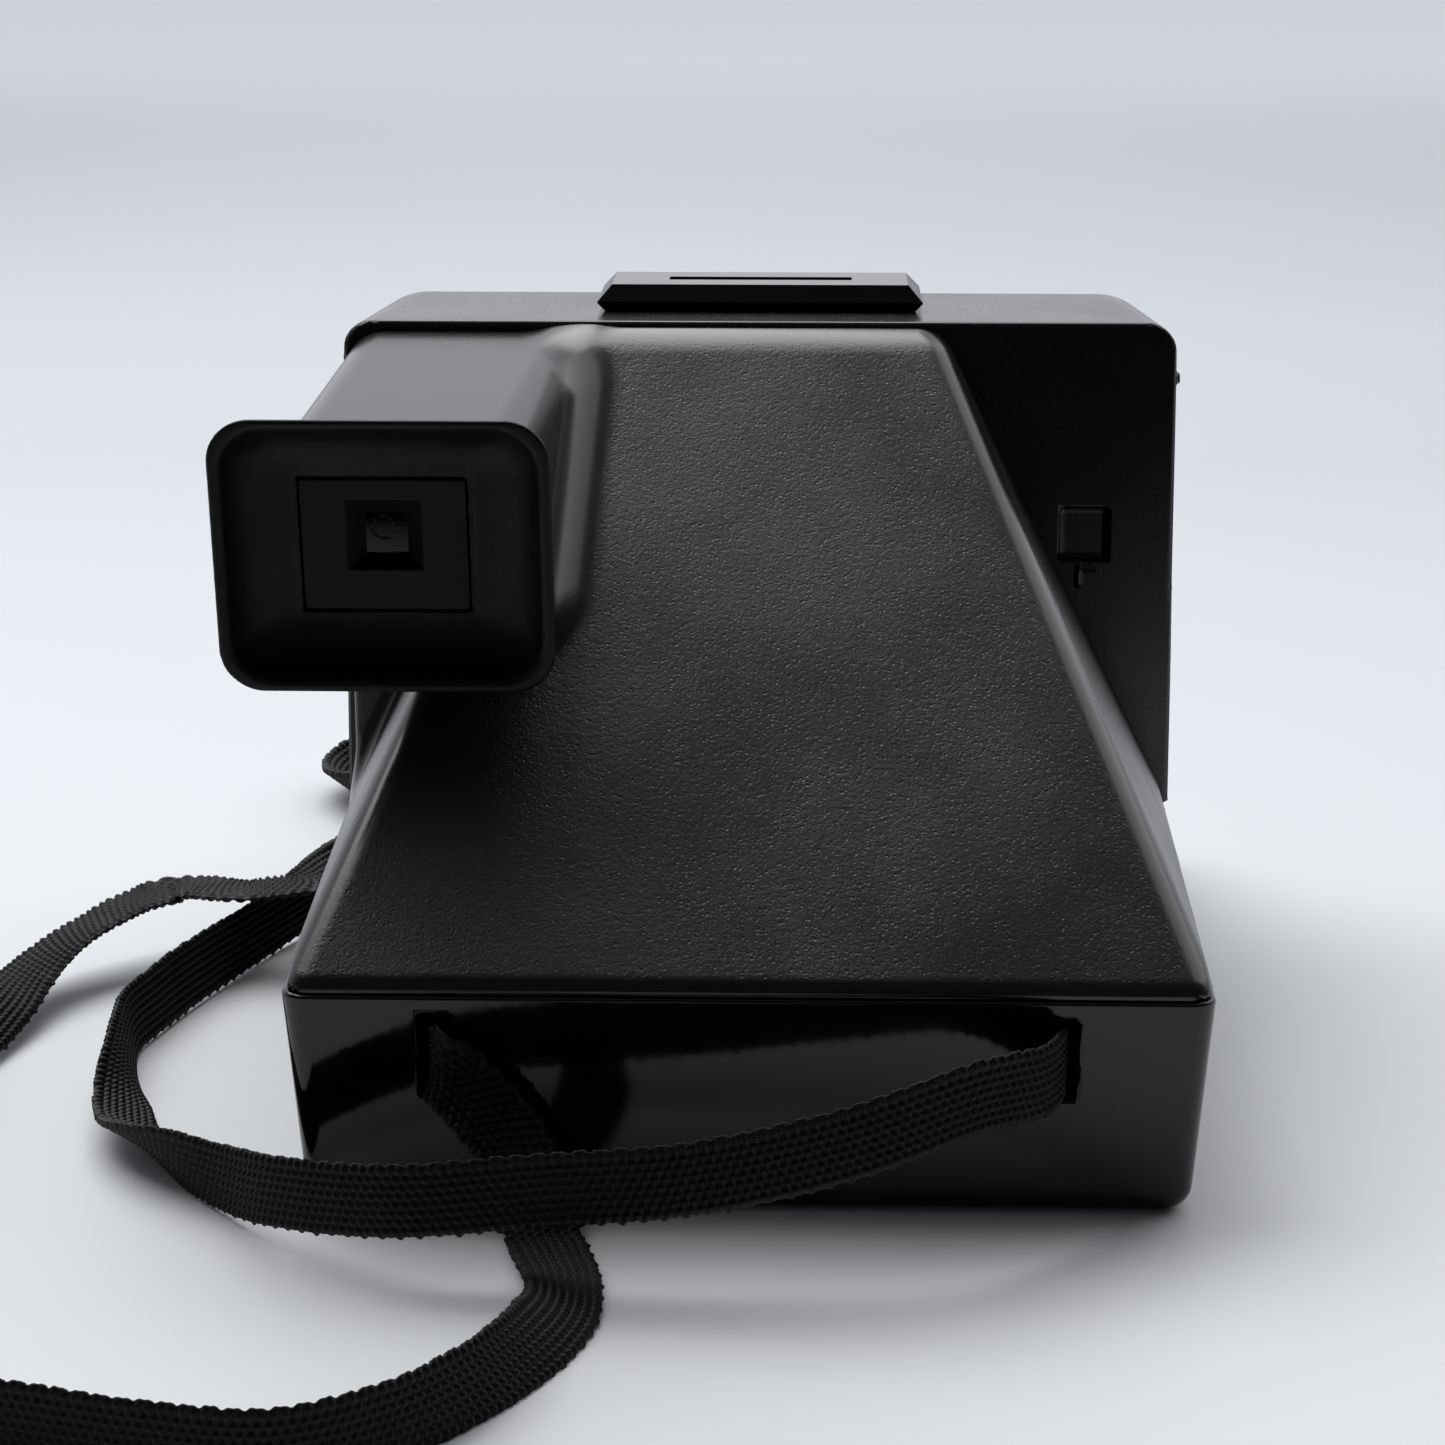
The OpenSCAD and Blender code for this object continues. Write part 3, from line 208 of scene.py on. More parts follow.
def surface_finish(name, tints, rough, patch=14.0, grain=0.6, depth=0.02, metallic=0.0, ior=1.5,
                   stretch=(1, 1, 1), scratch=0.0, **extra):
    """A moulded or machined surface: tints drift over patch mm, and grain mm of bump is depth mm deep."""
    material, tree, shader = blank(name)
    place = add(tree, "ShaderNodeTexCoord").outputs["Object"]
    run = add(tree, "ShaderNodeMapping", {"Vector": place, "Scale": stretch}).outputs[0]
    patches = add(tree, "ShaderNodeTexNoise", {"Vector": place, "Scale": per_mm(patch), "Detail": 5.0,
                                               "Roughness": 0.6}).outputs["Fac"]
    fine = add(tree, "ShaderNodeTexNoise", {"Vector": run, "Scale": per_mm(grain), "Detail": 3.0,
                                            "Roughness": 0.55}).outputs["Fac"]
    drift = add(tree, "ShaderNodeMapRange", {"Value": patches, "From Min": 0.35, "From Max": 0.65}).outputs[0]
    colour = add(tree, "ShaderNodeMix", {0: drift, 6: linear(tints[0], 1), 7: linear(tints[1], 1)},
                 data_type="RGBA").outputs[2]
    tree.links.new(colour, shader.inputs["Base Color"])
    both = add(tree, "ShaderNodeMath", {0: patches, 1: fine}, operation="ADD").outputs[0]
    dull = add(tree, "ShaderNodeMapRange", {"Value": both, "From Min": 0.7, "From Max": 1.3,
                                            "To Min": rough[0], "To Max": rough[1]}).outputs[0]
    if scratch:
        marks = add(tree, "ShaderNodeMapping", {"Vector": place, "Rotation": (0.3, 0.5, 0.9),
                                                "Scale": (1, 0.03, 1)}).outputs[0]
        lines = add(tree, "ShaderNodeTexNoise", {"Vector": marks, "Scale": per_mm(0.5),
                                                 "Detail": 2.0}).outputs["Fac"]
        worn = add(tree, "ShaderNodeMapRange", {"Value": lines, "From Min": 0.66, "From Max": 0.8,
                                                "To Max": scratch}).outputs[0]
        dull = add(tree, "ShaderNodeMath", {0: dull, 1: worn}, operation="ADD").outputs[0]
    tree.links.new(dull, shader.inputs["Roughness"])
    bump = add(tree, "ShaderNodeBump", {"Height": fine, "Distance": depth * MM, "Strength": 1.0}).outputs[0]
    tree.links.new(bump, shader.inputs["Normal"])
    shader.inputs["Metallic"].default_value = metallic
    if not metallic:
        shader.inputs["IOR"].default_value = ior
    for key, value in extra.items():
        shader.inputs[key.replace("_", " ")].default_value = value
    return material


def grained_abs(settings):
    """ABS moulded in an etched tool: a fine pebble over the flats, worn smooth where the edges turn."""
    material, tree, shader = blank("grained_abs_moulded")
    place = add(tree, "ShaderNodeTexCoord").outputs["Object"]
    size = settings.grain_size / MM
    tooth = add(tree, "ShaderNodeTexNoise", {"Vector": place, "Scale": per_mm(size * 1.5), "Detail": 4.0,
                                             "Roughness": 0.75}).outputs["Fac"]
    spots = add(tree, "ShaderNodeTexVoronoi", {"Vector": place, "Scale": per_mm(size * 1.3)})
    round_pit = add(tree, "ShaderNodeMapRange", {"Value": spots.outputs["Distance"], "From Max": 0.5,
                                                 "To Min": -0.6, "To Max": 0.0},
                    interpolation_type="SMOOTHSTEP").outputs[0]
    mixed = add(tree, "ShaderNodeSeparateColor", {"Color": spots.outputs["Color"]}).outputs[0]
    pit = add(tree, "ShaderNodeMath", {0: round_pit, 1: mixed}, operation="MULTIPLY").outputs[0]
    height = add(tree, "ShaderNodeMath", {0: tooth, 1: pit}, operation="ADD").outputs[0]
    flat = add(tree, "ShaderNodeAttribute", attribute_name="grain").outputs["Fac"]
    even = add(tree, "ShaderNodeTexNoise", {"Vector": place, "Scale": per_mm(22),
                                            "Detail": 3.0}).outputs["Fac"]
    strong = add(tree, "ShaderNodeMapRange", {"Value": even, "From Min": 0.35, "From Max": 0.65,
                                              "To Min": 0.6, "To Max": 1.0}).outputs[0]
    amount = add(tree, "ShaderNodeMath", {0: flat, 1: strong}, operation="MULTIPLY").outputs[0]
    bump = add(tree, "ShaderNodeBump", {"Height": height, "Strength": amount,
                                        "Distance": settings.grain_depth}).outputs[0]
    tree.links.new(bump, shader.inputs["Normal"])
    colour = add(tree, "ShaderNodeMix", {0: height, 6: linear("#120f0f", 1), 7: (*settings.colour, 1)},
                 data_type="RGBA").outputs[2]
    tree.links.new(colour, shader.inputs["Base Color"])
    dull = add(tree, "ShaderNodeMapRange", {"Value": amount, "To Min": 0.2, "To Max": 0.38}).outputs[0]
    tree.links.new(dull, shader.inputs["Roughness"])
    shader.inputs["IOR"].default_value = 1.53
    return material


def webbing():
    """Woven polyester webbing: each raised knob is a bundle of fine black filaments."""
    material, tree, shader = blank("polyester_webbing_woven")
    place = add(tree, "ShaderNodeTexCoord").outputs["Object"]
    relief = add(tree, "ShaderNodeAttribute", attribute_name="relief").outputs["Fac"]
    # Filaments are 0.02 mm in the real yarn and are drawn 0.15 mm wide so that they show
    thread = add(tree, "ShaderNodeTexNoise", {"Vector": place, "Scale": per_mm(0.15),
                                              "Detail": 2.0}).outputs["Fac"]
    faded = add(tree, "ShaderNodeTexNoise", {"Vector": place, "Scale": per_mm(9),
                                             "Detail": 3.0}).outputs["Fac"]
    # Painted shade: the yarn is lightest on the knob tops and falls to near black in the valleys between
    # knobs and on the side walls; worn carries this painted shade along with the thread's fibres and the
    # random 9 mm fading
    mixed = add(tree, "ShaderNodeMath", {0: relief, 1: thread}, operation="MULTIPLY").outputs[0]
    worn = add(tree, "ShaderNodeMath", {0: mixed, 1: faded}, operation="MULTIPLY").outputs[0]
    shade = add(tree, "ShaderNodeMapRange", {"Value": worn, "From Max": 0.4}).outputs[0]
    colour = add(tree, "ShaderNodeMix", {0: shade, 6: linear("#010101", 1), 7: linear("#0e0e10", 1)},
                 data_type="RGBA").outputs[2]
    tree.links.new(colour, shader.inputs["Base Color"])
    bump = add(tree, "ShaderNodeBump", {"Height": thread, "Distance": 0.05 * MM, "Strength": 0.8}).outputs[0]
    tree.links.new(bump, shader.inputs["Normal"])
    shader.inputs["Roughness"].default_value = 0.5
    shader.inputs["IOR"].default_value = 1.4
    shader.inputs["Specular IOR Level"].default_value = 0.4
    return material


def clear(name, tint, rough, ior, coat=0.0):
    """A clear moulding or ground glass, with the faint bloom of handling."""
    material, tree, shader = blank(name)
    place = add(tree, "ShaderNodeTexCoord").outputs["Object"]
    bloom = add(tree, "ShaderNodeTexNoise", {"Vector": place, "Scale": per_mm(4),
                                             "Detail": 4.0}).outputs["Fac"]
    dull = add(tree, "ShaderNodeMapRange", {"Value": bloom, "From Min": 0.4, "From Max": 0.7,
                                            "To Min": rough, "To Max": rough + 0.05}).outputs[0]
    tree.links.new(dull, shader.inputs["Roughness"])
    shader.inputs["Base Color"].default_value = linear(tint, 1)
    shader.inputs["Transmission Weight"].default_value = 1.0
    shader.inputs["IOR"].default_value = ior
    shader.inputs["Coat Weight"].default_value = coat
    shader.inputs["Coat Tint"].default_value = linear("#8fa2ff", 1)
    return material


def paper(settings):
    """Pale paper table: flat, with the faintest tooth; painted shade greys it far away, and past its near
    edge it is painted near-black for reflections and bounced light.
    """
    material, tree, shader = blank("paper_calendered")
    place = add(tree, "ShaderNodeTexCoord").outputs["Object"]
    tooth = add(tree, "ShaderNodeTexNoise", {"Vector": place, "Scale": per_mm(0.8),
                                             "Detail": 3.0}).outputs["Fac"]
    bump = add(tree, "ShaderNodeBump", {"Height": tooth, "Distance": 0.01 * MM, "Strength": 0.3}).outputs[0]
    tree.links.new(bump, shader.inputs["Normal"])
    along = add(tree, "ShaderNodeSeparateXYZ", {0: place}).outputs[1]
    # Painted shade: for reflections and bounced light the table past its near edge is painted near-black, so
    # the black shell mirrors a table that ends in the dark, though the camera sees the table whole
    near = add(tree, "ShaderNodeMapRange", {"Value": along, "From Min": -0.24, "From Max": -0.15}).outputs[0]
    seen = add(tree, "ShaderNodeLightPath").outputs["Is Camera Ray"]
    shown = add(tree, "ShaderNodeMath", {0: near, 1: seen}, operation="MAXIMUM").outputs[0]
    # Painted shade: the paper's colour greys from the floor setting to #c6cacf away from the object, standing
    # in for the lamp's falloff
    deep = add(tree, "ShaderNodeMapRange", {"Value": along, "From Min": -0.14, "From Max": 0.4}).outputs[0]
    sheet = add(tree, "ShaderNodeMix", {0: deep, 6: (*settings.floor, 1), 7: linear("#c6cacf", 1)},
                data_type="RGBA").outputs[2]
    colour = add(tree, "ShaderNodeMix", {0: shown, 6: linear("#0c0c0d", 1), 7: sheet},
                 data_type="RGBA").outputs[2]
    tree.links.new(colour, shader.inputs["Base Color"])
    shader.inputs["Roughness"].default_value = 0.7
    # Painted light: far paper glows for camera rays only, keeping its tone where the lamp no longer reaches
    # it
    far = add(tree, "ShaderNodeMapRange", {"Value": along, "From Min": 0.65, "From Max": 1.9,
                                           "To Max": settings.far},
              interpolation_type="SMOOTHSTEP").outputs[0]
    glow = add(tree, "ShaderNodeMath", {0: far, 1: seen}, operation="MULTIPLY").outputs[0]
    tree.links.new(glow, shader.inputs["Emission Strength"])
    shader.inputs["Emission Color"].default_value = linear("#f4f7fb", 1)
    return material


FINISHES = {}


def make_finishes():
    """Every finish that a shown node or piece wears, by its own name."""
    f = FINISHES
    # Gloss black ABS from a polished tool: mirror-like, with a faint ripple and hairline rubs
    f["gloss"] = surface_finish("gloss_abs_moulded", ("#0b0a0c", "#100f11"), (0.06, 0.13), patch=30,
                                grain=4, depth=0.003, ior=1.53, scratch=0.1, Specular_IOR_Level=0.38)
    # Black ABS from a worn tool: the housing's edges and top carry a soft, broad shine
    f["semi"] = surface_finish("semi_gloss_abs_moulded", ("#0b0a0c", "#100f11"), (0.2, 0.3), patch=26,
                               grain=0.5, depth=0.006, ior=1.53, scratch=0.1)
    # Satin ABS from a spark-eroded tool: fine even tooth that spreads the light
    f["satin"] = surface_finish("satin_abs_moulded", ("#131214", "#1a191b"), (0.34, 0.48), grain=0.35,
                                depth=0.02, ior=1.53)
    # Matt black ABS inside the light path: dead flat, so that nothing glints
    f["matt"] = surface_finish("matt_abs_moulded", ("#0c0c0d", "#131314"), (0.62, 0.8), grain=0.5, depth=0.04)
    # Soft vinyl, dip moulded: slightly greasy sheen and handling marks
    f["vinyl"] = surface_finish("soft_vinyl_moulded", ("#060607", "#0b0b0c"), (0.42, 0.6), patch=6,
                                grain=0.8, depth=0.012, ior=1.52, scratch=0.1, Specular_IOR_Level=0.3)
    # Warm matt styrene of the eyepiece frame
    f["styrene"] = surface_finish("matt_styrene_moulded", ("#0e0c0b", "#12100e"), (0.5, 0.6), grain=0.4,
                                  depth=0.01, Specular_IOR_Level=0.3)
    # Red ABS of the shutter button, polished by fingers
    f["red"] = surface_finish("red_abs_moulded", ("#8f1812", "#a8201a"), (0.18, 0.34), patch=4, grain=0.5,
                              depth=0.006, ior=1.53)
    # Natural nylon gears: waxy and slightly see-through
    f["nylon"] = surface_finish("nylon_moulded", ("#d9d4c6", "#e6e2d6"), (0.34, 0.45), patch=5, grain=0.5,
                                depth=0.01, ior=1.53, Subsurface_Weight=0.15)
    # Steel strip, zinc plated and bright
    f["steel"] = surface_finish("zinc_plated_steel_pressed", ("#a9abad", "#bfc1c3"), (0.22, 0.38), patch=5,
                                grain=0.4, depth=0.004, metallic=1.0)
    # Film rollers: steel ground across the feed, so the marks run round them
    f["ground"] = surface_finish("steel_ground", ("#b4b6b8", "#c6c8ca"), (0.14, 0.26), patch=8, grain=0.3,
                                 depth=0.003, metallic=1.0, stretch=(8, 0.4, 0.4))
    # Steel blackened in a bath: dark, oily lustre
    f["blackened"] = surface_finish("steel_blackened", ("#2a2a2c", "#363638"), (0.36, 0.5), patch=4,
                                    grain=0.4, depth=0.006, metallic=0.8)
    # Phosphor bronze springs and contacts, rolled
    f["bronze"] = surface_finish("phosphor_bronze_rolled", ("#b98d4e", "#cfa565"), (0.22, 0.36), patch=3,
                                 grain=0.25, depth=0.004, metallic=1.0, stretch=(1, 6, 1))
    # Enamelled copper wire wound in close turns
    f["copper"] = surface_finish("enamelled_copper_wound", ("#8a4a22", "#b0662f"), (0.22, 0.34), patch=2,
                                 grain=0.3, depth=0.1, metallic=1.0, stretch=(1, 0.05, 0.05))
    # Glass-epoxy board under green solder mask
    f["board"] = surface_finish("glass_epoxy_laminated", ("#1d4a2a", "#2c6138"), (0.3, 0.42), patch=1.6,
                                grain=0.3, depth=0.02, ior=1.55)
    # Pressed wool felt at the light trap
    f["felt"] = surface_finish("wool_felt_pressed", ("#0f0f10", "#1b1b1d"), (0.85, 0.97), patch=2, grain=0.3,
                               depth=0.12, Sheen_Weight=0.3)
    # Brown ceramic body of the light cell
    f["cell"] = surface_finish("ceramic_fired", ("#5a2822", "#6f362e"), (0.45, 0.6), patch=2, grain=0.3,
                               depth=0.01)
    # Ground glass lens, with a violet-blue cast from its coating
    f["glass"] = clear("optical_glass_ground", "#f2f5f8", 0.0, 1.52, coat=1.0)
    # Clear acrylic of the finder windows, and the smoked one over the light cell
    f["acrylic"] = clear("acrylic_moulded", "#eef1f2", 0.02, 1.49)
    f["smoked"] = clear("acrylic_smoked", "#4a4c50", 0.04, 1.49)
    # Painted shade: the eyepiece's clear acrylic is coloured near-black to stand for the unlit finder behind
    # it, so only its gloss shows
    f["smoked_lens"] = surface_finish("acrylic_moulded_in_the_dark", ("#020203", "#040405"), (0.03, 0.06),
                                      patch=3, grain=2, depth=0.001, ior=1.49, Specular_IOR_Level=0.25)
    # Float glass silvered on its front face
    f["mirror"] = surface_finish("glass_silvered", ("#d5dade", "#dfe4e8"), (0.01, 0.03), patch=20, grain=6,
                                 depth=0.0005, metallic=1.0)


# Which nodes wear each finish
WEARS = {
    "gloss": ["flash_socket", "film_door", "door_latch", "base_shell", "front_housing"],
    "satin": ["front_panel", "lens_ring", "trim_wheel", "slope_cover"],
    "matt": ["finder_tunnel", "lens_barrel", "film_chamber", "mirror_carrier", "strap"],
    "vinyl": ["eyecup"],
    "styrene": ["eyepiece_plate"],
    "red": ["shutter_button"],
    "nylon": ["reduction_gear", "idler_gear", "upper_gear", "lower_gear", "walking_beam"],
    "steel": ["solenoid_plunger", "button_spring", "film_pick", "gear_studs", "motor", "hinge_pins",
              "strap_pins"],
    "ground": ["upper_roller", "lower_roller"],
    "blackened": ["shutter_plate", "shutter_blade_a", "shutter_blade_b", "gear_plate", "roller_frame",
                  "case_screws"],
    "bronze": ["flash_contacts", "battery_contacts", "motor_pinion"],
    "copper": ["solenoid"],
    "board": ["circuit_board"],
    "felt": ["light_seal"],
    "cell": ["photocell"],
    "glass": ["front_element", "rear_element"],
    "acrylic": ["eyepiece_lens", "finder_lens"],
    "smoked": ["photocell_window"],
    "mirror": ["reflex_mirror"],
}


# ---------------------------------------------------------------- solids as distance fields, in millimetres
def half_space(point, normal):
    """Signed distance past a plane, positive on the side its normal points to."""
    n = np.array(normal, float)
    n /= np.linalg.norm(n)
    offset = float(n @ np.array(point, float))
    return lambda x, y, z: n[0] * x + n[1] * y + n[2] * z - offset


def round_and(r, *parts):
    """What all the parts share, its edges rounded to radius r."""
    worst = parts[0]
    for part in parts[1:]:
        worst = np.maximum(worst, part)
    spread = sum(np.maximum(part + r, 0) ** 2 for part in parts)
    return np.minimum(worst, -r) + np.sqrt(spread)


def round_or(r, a, b):
    """Both parts together, with a fillet of radius r where they meet."""
    near = np.minimum(a, b)
    spread = np.maximum(r - a, 0) ** 2 + np.maximum(r - b, 0) ** 2
    return np.maximum(near, r) - np.sqrt(spread)


def block(x, y, z, low, high, r=0.3):
    """A box with rounded edges."""
    q = [np.abs(v - (a + b) / 2) - (b - a) / 2 + r for v, a, b in zip((x, y, z), low, high)]
    outside = np.sqrt(sum(np.maximum(v, 0) ** 2 for v in q))
    return outside + np.minimum(np.maximum(np.maximum(q[0], q[1]), q[2]), 0) - r


def rounded_square(u, v, half_u, half_v, r):
    """Distance to a rounded rectangle drawn across an axis."""
    a, b = np.abs(u) - half_u + r, np.abs(v) - half_v + r
    return np.sqrt(np.maximum(a, 0) ** 2 + np.maximum(b, 0) ** 2) + np.minimum(np.maximum(a, b), 0) - r


def cut(body, hole, r=0.3):
    """The body less the hole, with its rim broken by r."""
    return round_and(r, body, -hole)


def slopes(field, p, h=0.04):
    """The field's gradient at points p."""
    g = np.empty_like(p)
    for k in range(3):
        step = np.zeros(3)
        step[k] = h
        g[:, k] = (field(*(p + step).T) - field(*(p - step).T)) / (2 * h)
    return g


def contour(field, low, high, step):
    """Corners, normals and quads of the field's zero surface, one corner to a crossed cell."""
    axes = [np.arange(a - step, b + 1.5 * step, step) for a, b in zip(low, high)]
    value = field(*np.meshgrid(*axes, indexing="ij"))
    shape = np.array(value.shape) - 1
    total = np.zeros((int(np.prod(shape)), 4))
    faces = []
    for k in range(3):
        m, n = (k + 1) % 3, (k + 2) % 3
        first = value[tuple(slice(None, -1) if i == k else slice(None) for i in range(3))]
        last = value[tuple(slice(1, None) if i == k else slice(None) for i in range(3))]
        at = np.argwhere((first < 0) != (last < 0))
        at = at[(at[:, m] > 0) & (at[:, n] > 0) & (at[:, m] < shape[m]) & (at[:, n] < shape[n])]
        a, b = first[tuple(at.T)], last[tuple(at.T)]
        point = np.stack([axes[i][at[:, i]] for i in range(3)], 1)
        point[:, k] += step * a / (a - b)
        ring = []
        for dm, dn in ((-1, -1), (0, -1), (0, 0), (-1, 0)):
            cell = at.copy()
            cell[:, m] += dm
            cell[:, n] += dn
            flat = (cell[:, 0] * shape[1] + cell[:, 1]) * shape[2] + cell[:, 2]
            for i in range(3):
                total[:, i] += np.bincount(flat, point[:, i], len(total))
            total[:, 3] += np.bincount(flat, minlength=len(total))
            ring.append(flat)
        quad = np.stack(ring, 1)
        quad[a >= 0] = quad[a >= 0][:, ::-1]
        faces.append(quad)
    faces = np.concatenate(faces)
    used, index = np.unique(faces, return_inverse=True)
    points = total[used, :3] / total[used, 3:]
    for _ in range(5):
        g = slopes(field, points)
        size = np.maximum((g ** 2).sum(1), 0.2)
        points -= np.clip(field(*points.T) / size, -step, step)[:, None] * g
    g = slopes(field, points)
    g /= np.maximum(np.linalg.norm(g, axis=1), 1e-6)[:, None]
    return points, g, index.reshape(faces.shape)


def to_object(name, points, faces, normals=None, marks=None):
    """A smooth mesh object from corners in millimetres, with marks at its corners for the finish."""
    mesh = bpy.data.meshes.new(name)
    mesh.from_pydata((points * MM).tolist(), [], faces)
    for key, values in (marks or {}).items():
        layer = mesh.attributes.new(key, "FLOAT", "POINT")
        layer.data.foreach_set("value", np.asarray(values, np.float32))
    mesh.polygons.foreach_set("use_smooth", [True] * len(mesh.polygons))
    mesh.update()
    if normals is not None:
        mesh.normals_split_custom_set_from_vertices(normals.tolist())
    piece = bpy.data.objects.new(name, mesh)
    bpy.context.scene.collection.objects.link(piece)
    return piece


def moulding(name, field, stands_for, margin, step, finish, mark=None):
    """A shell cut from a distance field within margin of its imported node, which it takes the place of."""
    low, high = mm_box(stands_for)
    points, normals, faces = contour(field, [v - margin[0] for v in low], [v + margin[1] for v in high], step)
    marks = {"grain": mark(points, normals)} if mark else None
    piece = to_object(name, points, faces.tolist(), normals, marks)
    piece.data.materials.append(finish)
    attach(piece, "camera_body")
    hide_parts(stands_for)
    return piece


# ---------------------------------------------------------------- the shells
FLARE_RUN = HOUSE_REAR - REAR
SIDE_REAR = half_space((BASE_HW, REAR, BASE_TOP),
                       (FLARE_RUN * BASE_TOP, -FLARE * BASE_TOP, -DRAFT * FLARE_RUN))
SIDE_FRONT = half_space((SIDE_HW, 0, BASE_TOP), (BASE_TOP, 0, -DRAFT))
REAR_FACE = half_space((0, REAR, BASE_TOP), (0, -BASE_TOP, -DRAFT))


def base_field(x, y, z):
    """The open tray: drafted walls, screw bosses, strap slots and the latch's window."""
    ax = np.abs(x)
    sides = np.maximum(SIDE_REAR(ax, y, z), SIDE_FRONT(ax, y, z)) - FULL
    body = round_and(3.0, sides, REAR_FACE(x, y, z), -z)
    body = round_and(0.45, body, z - BASE_TOP)
    body = round_and(0.8, body, y - DOOR)
    flared = (ax - (CAVITY_HW - FLARE)) - FLARE * (y - REAR) / FLARE_RUN
    cavity = round_and(1.0, np.maximum(ax - CAVITY_HW, flared), -(y - INNER_REAR), WALL - z)
    body = cut(body, cavity)
    mouth = block(x, y, z, (-CAVITY_HW, HINGE[0] - HINGE_GAP, -4), (CAVITY_HW, DOOR + 9, BASE_TOP + 9), 0.4)
    body = cut(body, mouth)
    from_screws = [np.hypot(ax - sx, y - sy) for sx, sy in SCREWS]
    for away in from_screws:
        body = round_or(0.6, body, round_and(0.3, away - BOSS_R, 0.4 - z, z - BASE_TOP + 0.2))
    for away in from_screws:
        body = cut(body, np.maximum(away - COUNTERBORE_R, z - COUNTERBORE_TOP), 0.25)
        body = np.maximum(body, -(away - SCREW_R))
    slot_foot = SLOT_Z - SLOT_H / 2
    for low, high in ((slot_foot - 3.2, slot_foot - 0.9), (BASE_TOP - 1.9, BASE_TOP - 0.05)):
        lug = block(ax, y, z, (SLOT_X - LUG_HW, INNER_REAR - 1, low),
                    (SLOT_X + LUG_HW, INNER_REAR + LUG_DEEP, high))
        body = np.minimum(body, lug)
    slot = block(ax, y, z, (SLOT_X - SLOT_W / 2, REAR - 4, slot_foot),
                 (SLOT_X + SLOT_W / 2, INNER_REAR + 0.1, SLOT_Z + SLOT_H / 2), 0.6)
    body = cut(body, slot, 0.5)
    window = block(x, y, z, (-SIDE_HW - 3, LATCH[0] - LATCH_HW, LATCH[1] - 2.3),
                   (-CAVITY_HW + 1, LATCH[0] + LATCH_HW, LATCH[1] + 6.3), 0.3)
    body = cut(body, window)
    return np.maximum(body, -np.maximum(np.hypot(y - HINGE[0], z - HINGE[1]) - HINGE_R, CAVITY_HW - 1 - ax))


FRONT_FACE = half_space((0, HOUSE_FOOT, BASE_TOP), (0, math.cos(LEAN), math.sin(LEAN)))


def on_front(y, z):
    """World y and z as depth and height in the leaning front panel's frame."""
    dy, dz = y - HOUSE_FOOT, z - BASE_TOP
    return dy * math.cos(LEAN) + dz * math.sin(LEAN), dz * math.cos(LEAN) - dy * math.sin(LEAN)


def housing_form(x, y, z, grow=0.0):
    """The lens housing's block, its corners opening out from the rear to the crown."""
    back = np.clip((y - HOUSE_REAR) / 35, 0, 1)
    up = np.clip((z - BASE_TOP) / 60, 0, 1)
    r = np.minimum(CORNER_R + CORNER_OPENS * back, CORNER_R + CORNER_OPENS * up) - grow
    side = np.abs(x) - HOUSE_HW - FULL + SIDE_DRAFT * np.clip((z - BASE_TOP) / (HOUSE_TOP - BASE_TOP), 0, 1)
    return round_and(r, side + grow, z - HOUSE_TOP + grow, FRONT_FACE(x, y, z) + grow)


def housing_field(x, y, z):
    """The housing as a hollow shell with its openings and the small pocket in its rear face."""
    solid = round_and(0.5, housing_form(x, y, z), HOUSE_REAR - y)
    solid = np.maximum(solid, BASE_TOP + 0.02 - z)
    nub = np.sqrt((x - HOUSE_HW) ** 2 + ((y - HOUSE_REAR - 1.8) / 1.6) ** 2
                  + (z - BASE_TOP - 61.5) ** 2) - 0.7
    solid = round_or(0.2, solid, nub)
    inside = np.maximum(housing_form(x, y, z, WALL), HOUSE_REAR + WALL - y)
    body = np.maximum(solid, -inside)
    depth, height = on_front(y, z)
    panel = rounded_square(x, height - sum(PANEL_Z) / 2, PANEL_W / 2, (PANEL_Z[1] - PANEL_Z[0]) / 2, 3)
    body = cut(body, np.maximum(panel, -depth - WALL - 1.5))
    throat = np.maximum(np.maximum(np.abs(x) - 46 + (z - BASE_TOP) * 0.42, BASE_TOP + 3 - z), z - CREST_Z + 8)
    finder = rounded_square(x - EYE[0] - 3, z - EYE[2] - 1.5, HOOD_W / 2 - 2, HOOD_H / 2 - 0.5, 2)
    opening = np.maximum(np.minimum(throat, finder), y - HOUSE_REAR - WALL - 1)
    body = np.maximum(body, -opening)
    body = np.maximum(body, -block(x, y, z, (-SOCKET_CUT_HW, SOCKET_LOW[1] + SOCKET_LIP, HOUSE_TOP - 4),
                                   (SOCKET_CUT_HW, SOCKET_HIGH[1] - SOCKET_LIP, HOUSE_TOP + 2), 0.1))
    pocket = block(x, y, z, (RECESS[0] - RECESS_HALF[0], HOUSE_REAR - 3, RECESS[1] - RECESS_HALF[1]),
                   (RECESS[0] + RECESS_HALF[0], HOUSE_REAR + 1.2, RECESS[1] + RECESS_HALF[1]), 0.35)
    body = cut(body, pocket, 0.25)
    rib = block(x, y, z, (RECESS[0] - 0.9, HOUSE_REAR - 0.28, RECESS[1] - 7.6),
                (RECESS[0] - 0.2, HOUSE_REAR + 0.5, RECESS[1] - 3.9), 0.12)
    tee = block(x, y, z, (RECESS[0] - 0.9, HOUSE_REAR - 0.28, RECESS[1] - 5.2),
                (RECESS[0] + 1.5, HOUSE_REAR + 0.5, RECESS[1] - 4.6), 0.12)
    return np.minimum(body, np.minimum(rib, tee))


def leaning(p, q, up):
    """A plane along X through two (y, z) points, facing up or down."""
    run, rise = q[0] - p[0], q[1] - p[1]
    return half_space((0, p[0], p[1]), (0, -rise * up, run * up))


